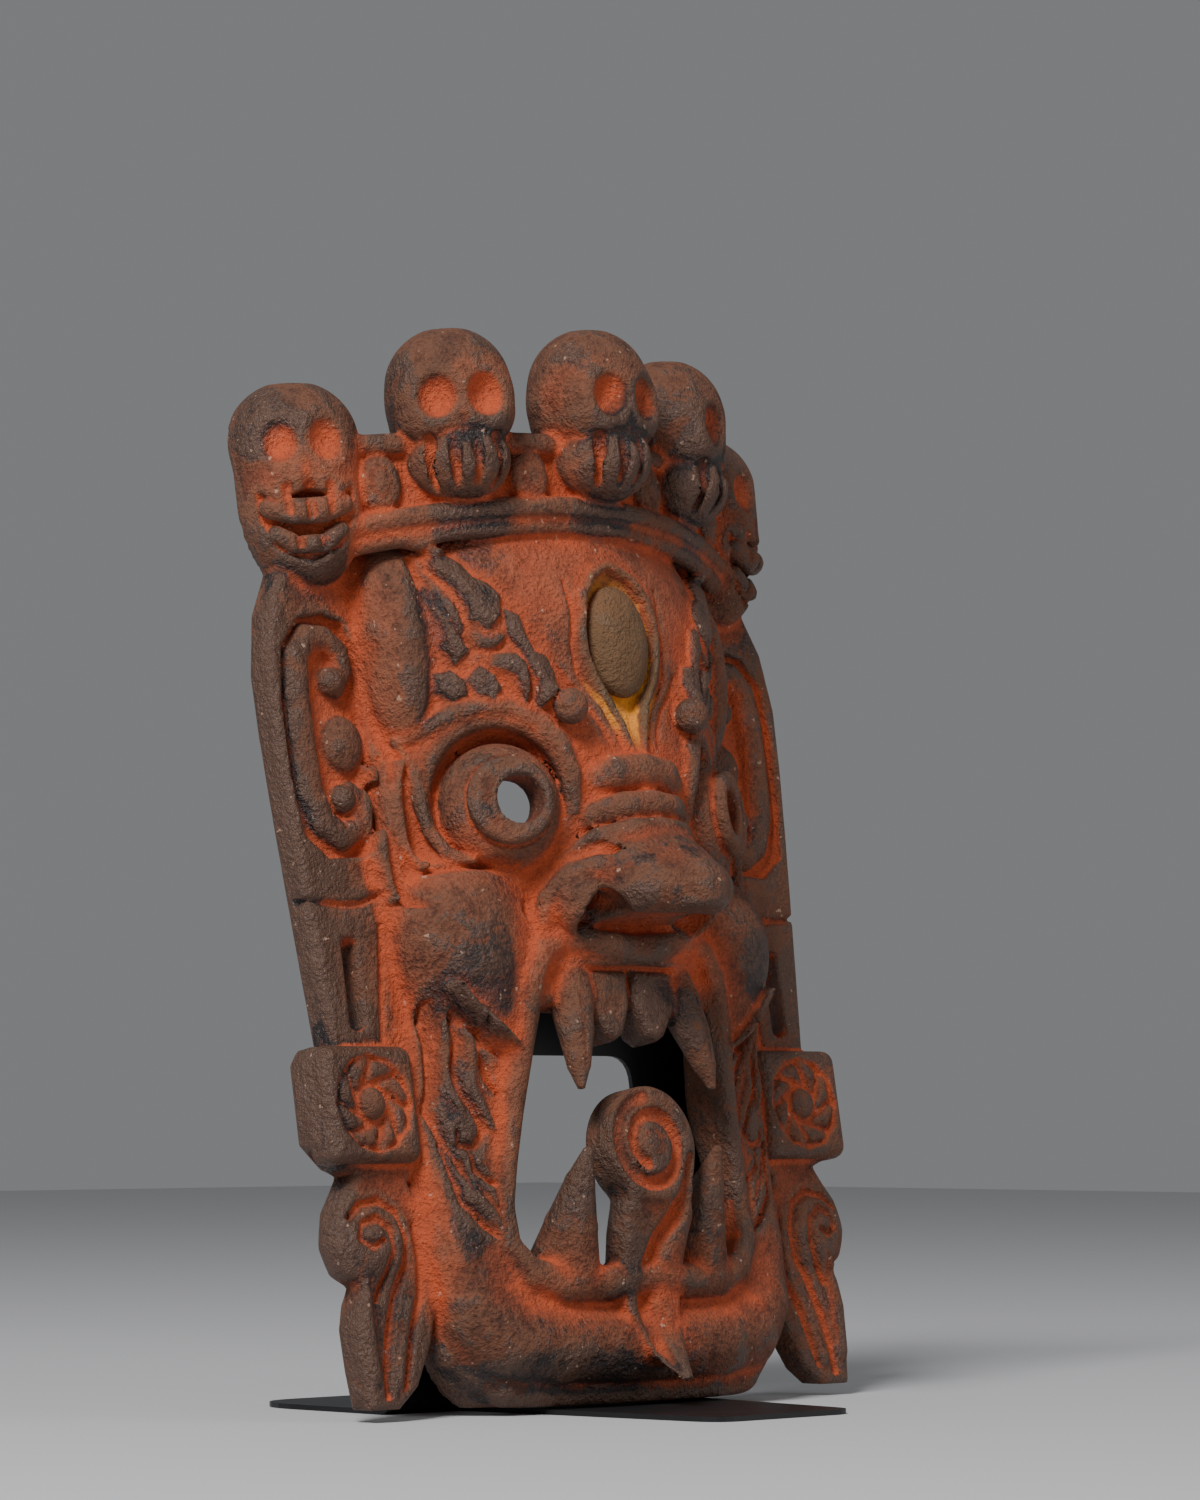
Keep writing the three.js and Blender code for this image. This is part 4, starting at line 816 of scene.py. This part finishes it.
def mask_steps():
    masses = face_masses()
    steps = masses + jaw() + temple() + crown() + [add(board(), 2)] + ear_plate() + flower() + tassel()
    steps += brow() + third_eye() + eye() + nose() + eye_leaves() + beard()
    steps += [cut(hollow(masses), 2)] + mouth_rim() + [under_nose(), mouth_opening()] + teeth()
    steps += [cut(crown_hollow(), 2)] + skulls() + [eye_hole(), nostril(), pocket()]
    return steps


def mask_distance(steps, p, reach=REACH):
    """The finished carving, mirrored but for its tongue, cut flat behind and below."""
    folded = np.column_stack([np.abs(p[:, 0]), p[:, 1], p[:, 2]])
    carved = carve(steps, folded, reach)
    near = ((p > TONGUE_LOW - 4) & (p < TONGUE_HIGH + 4)).all(axis=1)
    if near.any():
        carved[near] = soft_min(carved[near], carve(TONGUE, p[near], reach), 1.5)
    floor = np.where(folded[:, 0] < TASSEL_INNER_X, CHIN_HEIGHT, TASSEL_CLEARANCE)
    below = floor - height_over_floor(p[:, 1], p[:, 2])
    return np.maximum.reduce([carved, -PLATE - p[:, 2], below])


TONGUE = tongue()

VOXEL = 1.2
BLOCK = 6  # voxels along each side of a block
HALF_WIDTH = math.ceil(112.0 / VOXEL / BLOCK) * BLOCK * VOXEL  # the middle lies on the lattice
LATTICE_LOW = np.array([-HALF_WIDTH, -10.5, -13.5])
LATTICE_HIGH = np.array([HALF_WIDTH, 318.0, 70.5])
ROUGH_REACH = 25.0  # for the first look at each block
CROSSED_WITHIN = 1.2  # block sizes from the surface to the middle of a block it may cross


def sample_lattice(steps):
    """Distances on a lattice, worked out only in blocks that the surface may cross."""
    counts = (np.ceil((LATTICE_HIGH - LATTICE_LOW) / VOXEL / BLOCK - 1e-6).astype(int)) * BLOCK + 1
    middle = (counts[0] - 1) // 2
    size = BLOCK * VOXEL
    blocks = (counts - 1) // BLOCK
    ids = np.stack(np.meshgrid(*[np.arange(n) for n in blocks], indexing="ij"), -1).reshape(-1, 3)
    ids = ids[(ids[:, 0] + 1) * BLOCK > middle]
    rough = mask_distance(steps, LATTICE_LOW + (ids + 0.5) * size, ROUGH_REACH)
    values = np.full(tuple(counts), REACH)
    wanted = np.zeros(tuple(counts), bool)
    for (i, j, k), distance in zip(ids * BLOCK, rough):
        block = np.s_[i:i + BLOCK + 1, j:j + BLOCK + 1, k:k + BLOCK + 1]
        values[block] = REACH * np.sign(distance)
        wanted[block] |= abs(distance) < size * CROSSED_WITHIN
    where = np.argwhere(wanted)
    values[wanted] = mask_distance(steps, LATTICE_LOW + where * VOXEL)
    values[:middle] = values[:middle:-1]
    low = ((TONGUE_LOW - LATTICE_LOW) / VOXEL).astype(int)
    high = ((TONGUE_HIGH - LATTICE_LOW) / VOXEL).astype(int)
    high[0] = middle
    box = tuple(slice(start, end) for start, end in zip(low, high))
    where = np.stack(np.meshgrid(*[np.arange(start, end) for start, end in zip(low, high)], indexing="ij"), -1)
    values[box] = mask_distance(steps, LATTICE_LOW + where.reshape(-1, 3) * VOXEL).reshape(where.shape[:3])
    values[values == 0.0] = 1e-4
    return values


def surface_net(values):
    """One corner in each cell that the surface crosses, joined across crossed edges."""
    inside = values < 0.0
    corners = [(i, j, k) for i in (0, 1) for j in (0, 1) for k in (0, 1)]
    n = np.array(values.shape) - 1

    def shifted(array, offset):
        i, j, k = offset
        return array[i:i + n[0], j:j + n[1], k:k + n[2]]

    count = sum(shifted(inside, c).astype(np.int8) for c in corners)
    active = (count > 0) & (count < 8)
    cells = np.argwhere(active)
    number = np.full(tuple(n), -1)
    number[active] = np.arange(len(cells))
    total, crossings = np.zeros((len(cells), 3)), np.zeros(len(cells))
    for a in corners:
        for axis in range(3):
            if a[axis]:
                continue
            b = tuple(1 if i == axis else a[i] for i in range(3))
            va, vb = shifted(values, a)[active], shifted(values, b)[active]
            crossed = (va < 0) != (vb < 0)
            t = va[crossed] / (va[crossed] - vb[crossed])
            spot = np.array(a, float) + np.outer(t, np.eye(3)[axis])
            total[crossed] += spot
            crossings[crossed] += 1
    points = LATTICE_LOW + (cells + total / crossings[:, None]) * VOXEL
    faces = []
    for axis in range(3):
        u, v = (axis + 1) % 3, (axis + 2) % 3
        low = [slice(1, -1)] * 3
        low[axis] = slice(0, -1)
        high = list(low)
        high[axis] = slice(1, None)
        first, second = inside[tuple(low)], inside[tuple(high)]
        edges = np.argwhere(first != second) + [1 if i != axis else 0 for i in range(3)]
        starts_inside = inside[tuple(edges.T)]
        ring = []
        for du, dv in ((-1, -1), (0, -1), (0, 0), (-1, 0)):
            cell = edges.copy()
            cell[:, u] += du
            cell[:, v] += dv
            ring.append(number[tuple(cell.T)])
        ring = np.stack(ring, 1)
        ring[~starts_inside] = ring[~starts_inside, ::-1]
        faces.append(ring)
    return points, np.concatenate(faces)


def settle(steps, points, rounds=2):
    """Moves points onto the carving along its slope."""
    tiny = 0.15
    for _ in range(rounds):
        distance = mask_distance(steps, points)
        beyond = np.stack([mask_distance(steps, points + tiny * axis) for axis in np.eye(3)], 1)
        before = np.stack([mask_distance(steps, points - tiny * axis) for axis in np.eye(3)], 1)
        slope = (beyond - before) / (2 * tiny)
        size = np.maximum((slope ** 2).sum(1), 0.3)
        move = -slope * (distance / size)[:, None]
        length = np.linalg.norm(move, axis=1, keepdims=True)
        points = points + move * np.minimum(1.0, 0.6 * VOXEL / np.maximum(length, 1e-9))
    return points


FACE_LIMIT = 198000
FINE_ROUNDS, FINE_DEPTH = 7, 1.3  # rounds of smoothing, and the depth in millimetres that counts in full
BROAD_ROUNDS, BROAD_DEPTH = 90, 7.0
BACK_OF_PAINT = -10.0
FLAME_SOOT = 0.8  # how black the flames of the brows are
FLAME_EDGE = 1.6


def to_object(points):
    """From the carving's frame to the object's, in metres."""
    x, y, z = points.T
    placed = np.column_stack([x, behind_bend(y, z), height_over_floor(y, z)])
    return placed * MILLIMETRE


def turned_back(directions):
    """Directions of the object's frame in the carving's, which leans."""
    across, ahead, high = directions.T
    sine, cosine = math.sin(LEAN), math.cos(LEAN)
    return np.column_stack([across, ahead * sine + high * cosine, high * sine - ahead * cosine])


def to_carving(placed):
    """From the object's frame, in metres, back to the carving's."""
    return turned_back(placed / MILLIMETRE + np.array([0.0, TIPS_AHEAD_OF_BEND, -TIP_HEIGHT]))


def mesh_object(name, points, faces):
    mesh = bpy.data.meshes.new(name)
    mesh.vertices.add(len(points))
    mesh.vertices.foreach_set("co", points.ravel())
    mesh.loops.add(faces.size)
    mesh.loops.foreach_set("vertex_index", faces.ravel().astype(np.int32))
    mesh.polygons.add(len(faces))
    mesh.polygons.foreach_set("loop_start", np.arange(len(faces), dtype=np.int32) * faces.shape[1])
    mesh.update(calc_edges=True)
    mesh.validate()
    made = bpy.data.objects.new(name, mesh)
    bpy.context.scene.collection.objects.link(made)
    return made


def thinned(made, limit):
    triangles = sum(len(face.vertices) - 2 for face in made.data.polygons)
    if triangles <= limit:
        return made
    thinner = made.modifiers.new("thin", "DECIMATE")
    thinner.ratio = limit / triangles
    whole = bpy.context.evaluated_depsgraph_get()
    mesh = bpy.data.meshes.new_from_object(made.evaluated_get(whole))
    made.modifiers.clear()
    made.data = mesh
    return made


def set_shares(mesh, name, shares):
    """Keeps a share for each corner of the mesh, for the materials to read."""
    layer = mesh.attributes.new(name, "FLOAT", "POINT")
    layer.data.foreach_set("value", np.clip(shares, 0.0, 1.0).astype(np.float32))


def neighbour_means(mesh, points, rounds):
    """Each point moved to the middle of its neighbours, over and over."""
    edges = np.empty(len(mesh.edges) * 2, np.int32)
    mesh.edges.foreach_get("vertices", edges)
    one, other = edges.reshape(-1, 2).T
    ends, starts = np.concatenate([one, other]), np.concatenate([other, one])
    counts = np.maximum(np.bincount(ends, minlength=len(points)), 1)
    for _ in range(rounds):
        sums = [np.bincount(ends, along[starts], len(points)) for along in points.T]
        points = np.column_stack(sums) / counts[:, None]
    return points


def hollowness(mesh, points, normals, rounds):
    """How far, in millimetres, each point lies under the surface around it."""
    return ((neighbour_means(mesh, points, rounds) - points) * normals).sum(axis=1)


# Where powder and black paint are left on the front, and where the nostril hollows are painted black as painted
# shade:
# middle, reach and strength, in the carving's frame.
POWDER = [
    ((-12, 232), (30, 16), 0.8), ((26, 228), (16, 24), 0.7), ((-40, 200), (14, 14), 0.6),
    ((-26, 196), (14, 10), 0.6), ((0, 176), (24, 18), 0.8), ((-30, 184), (22, 16), 0.7),
    ((-36, 124), (13, 16), 0.9), ((-45, 80), (8, 36), 0.9), ((-66, 246), (24, 10), 0.6),
    ((-62, 152), (20, 12), 0.7), ((-30, 262), (30, 8), 0.6), ((30, 124), (16, 14), 0.7),
    ((-10, 290), (14, 10), 0.7), ((-46, 286), (18, 12), 0.7), ((-92, 262), (18, 20), 0.9),
    ((-69, 200), (7, 42), 0.8), ((-30, 30), (26, 8), 0.6), ((4, 30), (10, 26), 0.6),
    ((-74, 40), (8, 34), 0.7), ((46, 176), (20, 30), 0.5),
]
SOOT_AND_SHADE = [
    ((-104, 130), (9, 110), 0.9), ((-56, 112), (16, 14), 0.8), ((-62, 62), (8, 36), 0.6),
    ((-90, 18), (18, 22), 0.5), ((0, 276), (15, 15), 0.9), ((0, 252), (14, 9), 0.9),
    ((-46, 270), (15, 9), 0.8), ((-46, 250), (15, 9), 0.9), ((46, 270), (14, 22), 0.8),
    ((-62, 214), (8, 26), 0.6), ((-40, 0), (50, 10), 0.7), ((-12, 40), (7, 30), 0.4),
    # The two nostril places paint the nostril hollows black: painted shade in the holes.
    ((-21, 132), (6, 6.5), 1.0), ((21, 132), (6, 6.5), 1.0), ((12, 106), (12, 10), 0.5),
    ((-28, 60), (10, 14), 0.5), ((-90, 236), (14, 8), 0.5), ((-102, 284), (8, 16), 0.6),
    ((60, 120), (14, 14), 0.5),
]


def nearness(places, points):
    """The strength of the strongest place around each point, fading towards its edge."""
    best = np.zeros(len(points))
    for middle, reach, strength in places:
        gap = (((points[:, :2] - middle) / reach) ** 2).sum(axis=1)
        best = np.maximum(best, strength * np.clip(1.5 * (1.0 - gap), 0.0, 1.0))
    return best * (points[:, 2] > BACK_OF_PAINT)


def flame_share(points):
    """Black paint is left on the flames of the brows."""
    x, y = np.abs(points[:, 0]), points[:, 1]
    inside = [np.clip(0.5 - polygon(flame)(x, y) / FLAME_EDGE, 0.0, 1.0) for flame in BROW_FLAMES]
    return FLAME_SOOT * np.max(inside, axis=0) * (points[:, 2] > 0)


def corner_values(mesh, name):
    values = np.empty(len(mesh.vertices) * 3)
    mesh.vertices.foreach_get(name, values)
    return values.reshape(-1, 3)


def keep_shares(mesh):
    """How hollow, how far turned to the front, how powdered and how black each corner is."""
    points = to_carving(corner_values(mesh, "co"))
    normals = turned_back(corner_values(mesh, "normal"))
    set_shares(mesh, "recess", 0.5 + hollowness(mesh, points, normals, FINE_ROUNDS) / FINE_DEPTH)
    set_shares(mesh, "valley", 0.5 + hollowness(mesh, points, normals, BROAD_ROUNDS) / BROAD_DEPTH)
    facing = np.clip(1.0 + 2.0 * normals[:, 2], 0.0, 1.0)
    set_shares(mesh, "front", facing)
    set_shares(mesh, "powder", facing * nearness(POWDER, points))
    # Black paint, and painted shade in the nostrils.
    set_shares(mesh, "soot_and_shade", facing * np.maximum(nearness(SOOT_AND_SHADE, points), flame_share(points)))


def mask_piece():
    steps = mask_steps()
    points, faces = surface_net(sample_lattice(steps))
    points = settle(steps, points)
    made = thinned(mesh_object("carved_mask", to_object(points), faces), FACE_LIMIT)
    mesh = made.data
    mesh.polygons.foreach_set("use_smooth", np.ones(len(mesh.polygons), bool))
    keep_shares(mesh)
    return made


class Shade:
    """A socket of a material's nodes. Sums on it add Math nodes."""

    def __init__(self, tree, socket=None):
        self.tree = tree
        self.socket = socket

    def node(self, kind, inputs=None, output=0, **settings):
        """Adds a node with its settings, then fills its inputs with values or links."""
        made = self.tree.nodes.new(kind)
        for name, value in settings.items():
            setattr(made, name, value)
        for name, value in (inputs or {}).items():
            if isinstance(value, Shade):
                self.tree.links.new(value.socket, made.inputs[name])
            else:
                made.inputs[name].default_value = value
        return Shade(self.tree, made.outputs[output])

    def math(self, operation, *values):
        return self.node("ShaderNodeMath", dict(enumerate(values)), operation=operation)

    def __add__(self, other):
        return self.math("ADD", self, other)

    def __sub__(self, other):
        return self.math("SUBTRACT", self, other)

    def __rsub__(self, other):
        return self.math("SUBTRACT", other, self)

    def __mul__(self, other):
        return self.math("MULTIPLY", self, other)

    __radd__ = __add__
    __rmul__ = __mul__

    def between(self, low, high):
        """0 at low, 1 at high, smooth between."""
        sockets = {"Value": self, "From Min": low, "From Max": high}
        return self.node("ShaderNodeMapRange", sockets, interpolation_type="SMOOTHSTEP")

    def over(self, base, top):
        """The colour top laid on base, as thick as this share."""
        return self.node("ShaderNodeMix", {0: self, 6: base, 7: top}, output=2, data_type="RGBA")


def colour(red, green, blue):
    """A colour given as the 0 to 255 of a screen."""
    def linear(part):
        return part / 255 / 12.92 if part < 11 else ((part / 255 + 0.055) / 1.055) ** 2.4

    return (linear(red), linear(green), linear(blue), 1.0)


def material(name, roughness, metallic=0.0):
    made = bpy.data.materials.new(name)
    made.use_nodes = True
    tree = made.node_tree
    shader = tree.nodes["Principled BSDF"]
    shader.inputs["Roughness"].default_value = roughness
    shader.inputs["Metallic"].default_value = metallic
    return made, Shade(tree), shader


def link(shade, shader, name):
    shade.tree.links.new(shade.socket, shader.inputs[name])


def noise(shade, place, size, detail=4.0, rough=0.55):
    """Cloudy noise with lumps of a size in metres."""
    inputs = {"Vector": place, "Scale": 1.0 / size, "Detail": detail, "Roughness": rough}
    return shade.node("ShaderNodeTexNoise", inputs)


def share(shade, name):
    return shade.node("ShaderNodeAttribute", output="Fac", attribute_name=name)


def shifted(shade, place, distance):
    """The same place read far away in a noise, so that two noises don't repeat each other."""
    return shade.node("ShaderNodeVectorMath", {0: place, 1: (distance, distance, distance)}, operation="ADD")


DARK_WOOD = colour(66, 37, 26)
LIGHT_WOOD = colour(122, 70, 45)
BLACK_PAINT = colour(30, 27, 27)
OLD_POWDER = colour(158, 62, 36)
FRESH_POWDER = colour(216, 88, 42)
POWDER_FILM = colour(182, 84, 48)
RUBBED_WOOD = colour(150, 104, 78)
BARE_WOOD = colour(196, 158, 134)
BARE_BACK = 1.5  # how much less powder settles on sides that face back


def wood_and_paint(patches, smudges, black):
    brown = (patches + smudges * 0.6 - 0.3).between(0.25, 0.75).over(DARK_WOOD, LIGHT_WOOD)
    return (black * 0.92).over(brown, BLACK_PAINT)


def dusted(painted, settled, smudges, grains):
    """Orange powder, packed thick where most of it settled and a thin film around that."""
    orange = (smudges + grains * 0.5).between(0.55, 0.95).over(OLD_POWDER, FRESH_POWDER)
    packed = (settled + grains * 1.2).between(3.25, 4.7)
    film = (settled + grains * 1.5).between(2.6, 4.3) * 0.55
    return film.over((packed * 0.92).over(painted, orange), POWDER_FILM)


def worn(shade, place, base, recess, smudges, grains):
    """Rubbed places on what stands out, and small pale chips."""
    scuffs = (smudges * 0.9 + grains * 0.7 - recess * 1.5).between(0.1, 0.5) * 0.28
    chips = noise(shade, shifted(shade, place, 11.0), 0.0024, 2.0, 0.5).between(0.7, 0.75)
    return (chips * 0.6).over(scuffs.over(base, RUBBED_WOOD), BARE_WOOD)


def carved_wood():
    """Worn black paint over brown wood, with orange powder dusted over it and packed in the cuts."""
    made, shade, shader = material("carved_wood", 0.8)
    place = shade.node("ShaderNodeTexCoord", output="Object")
    recess, valley, front = share(shade, "recess"), share(shade, "valley"), share(shade, "front")
    powder, soot_and_shade = share(shade, "powder"), share(shade, "soot_and_shade")
    drifts = noise(shade, place, 0.04, 4.0, 0.55)
    patches = noise(shade, shifted(shade, place, 3.0), 0.02, 6.0, 0.7)
    smudges = noise(shade, shifted(shade, place, 7.0), 0.0065, 5.0, 0.7)
    grains = noise(shade, place, 0.0011, 2.0, 0.6)
    # The black share holds black paint and the painted shade of the nostrils.
    remnants = patches * 1.3 + smudges * 0.9 + soot_and_shade * 0.42 - recess * 0.3 - powder * 0.15
    black = remnants.between(1.0, 1.13)
    settled = recess * 1.1 + valley * 1.7 + powder * 0.8 + drifts * 1.8 + smudges * 1.1
    settled = settled - black * 0.3 - soot_and_shade * 0.5 + front * BARE_BACK - BARE_BACK
    base = dusted(wood_and_paint(patches, smudges, black), settled, smudges, grains)
    base = worn(shade, place, base, recess, smudges, grains)
    link(gilded(shade, place, base, recess, smudges, front), shader, "Base Color")
    link((black * -0.38) + 0.86, shader, "Roughness")
    height = smudges * 1.3 + grains * 0.5 + patches * 1.6
    bump = shade.node("ShaderNodeBump", {"Strength": 0.95, "Distance": 0.002, "Height": height})
    link(bump, shader, "Normal")
    return made


THIRD_EYE_MIDDLE = (0.0, 211.0, 40.0)  # in the carving's frame
THIRD_EYE_SIZE = (0.0155, 0.03, 0.027)  # metres, half of each side
OLD_GOLD = colour(112, 84, 54)
BRIGHT_GOLD = colour(232, 150, 52)


def gilded(shade, place, base, recess, smudges, front):
    """Old gold on the third eye, brightest in its rim's lower tip."""
    centre = to_object(np.array([THIRD_EYE_MIDDLE]))[0]
    offset = shade.node("ShaderNodeVectorMath", {0: place, 1: tuple(-centre)}, operation="ADD")
    scales = tuple(1.0 / size for size in THIRD_EYE_SIZE)
    scaled = shade.node("ShaderNodeVectorMath", {0: offset, 1: scales}, operation="MULTIPLY")
    reach = shade.node("ShaderNodeVectorMath", {0: scaled}, output=1, operation="LENGTH")
    inside = (reach + smudges * 0.3 - 0.15).between(1.15, 0.75) * front
    dull = (inside * 0.75).over(base, OLD_GOLD)
    rise = shade.node("ShaderNodeSeparateXYZ", {0: scaled}, output=2)
    bright = inside * (recess * 1.6 + smudges * 0.9 - rise * 0.55 - 1.4).between(0.0, 0.5)
    return bright.over(dull, BRIGHT_GOLD)


def black_steel():
    made, shade, shader = material("black_steel", 0.45, 0.2)
    place = shade.node("ShaderNodeTexCoord", output="Object")
    clouds = noise(shade, place, 0.02)
    link(clouds.over(colour(22, 22, 24), colour(36, 36, 38)), shader, "Base Color")
    link(clouds * 0.2 + 0.35, shader, "Roughness")
    return made


def floor():
    size = 3.0  # metres from the middle to each side
    points = np.array([(-size, -size, 0), (size, -size, 0), (size, size, 0), (-size, size, 0)], float)
    made = mesh_object("floor", points, np.array([[0, 1, 2, 3]]))
    look, _, shader = material("floor", 0.9)
    shader.inputs["Base Color"].default_value = colour(205, 205, 207)
    made.data.materials.append(look)


def lamp(name, place, target, size, power):
    data = bpy.data.lights.new(name, "AREA")
    data.size = size
    data.energy = power
    made = bpy.data.objects.new(name, data)
    made.location = place
    made.rotation_euler = (Vector(target) - Vector(place)).to_track_quat("-Z", "Y").to_euler()
    bpy.context.scene.collection.objects.link(made)


MASK_MIDDLE = (0, 0, 0.15)


def lights():
    """A soft lamp from the upper left, a weak one from the right, and pale light all round."""
    world = bpy.data.worlds.new("studio")
    world.use_nodes = True
    background = world.node_tree.nodes["Background"]
    background.inputs["Color"].default_value = (0.9, 0.92, 0.95, 1.0)
    background.inputs["Strength"].default_value = 0.22
    bpy.context.scene.world = world
    lamp("key", (-1.4, -0.6, 1.5), MASK_MIDDLE, 0.6, 42.0)
    lamp("fill", (0.9, -1.7, 0.7), MASK_MIDDLE, 1.2, 6.0)


mask = mask_piece()
mask.data.materials.append(carved_wood())
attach(mask, "root")
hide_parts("mask")
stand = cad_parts["stand"]
stand.data.materials.clear()
stand.data.materials.append(black_steel())
floor()
lights()
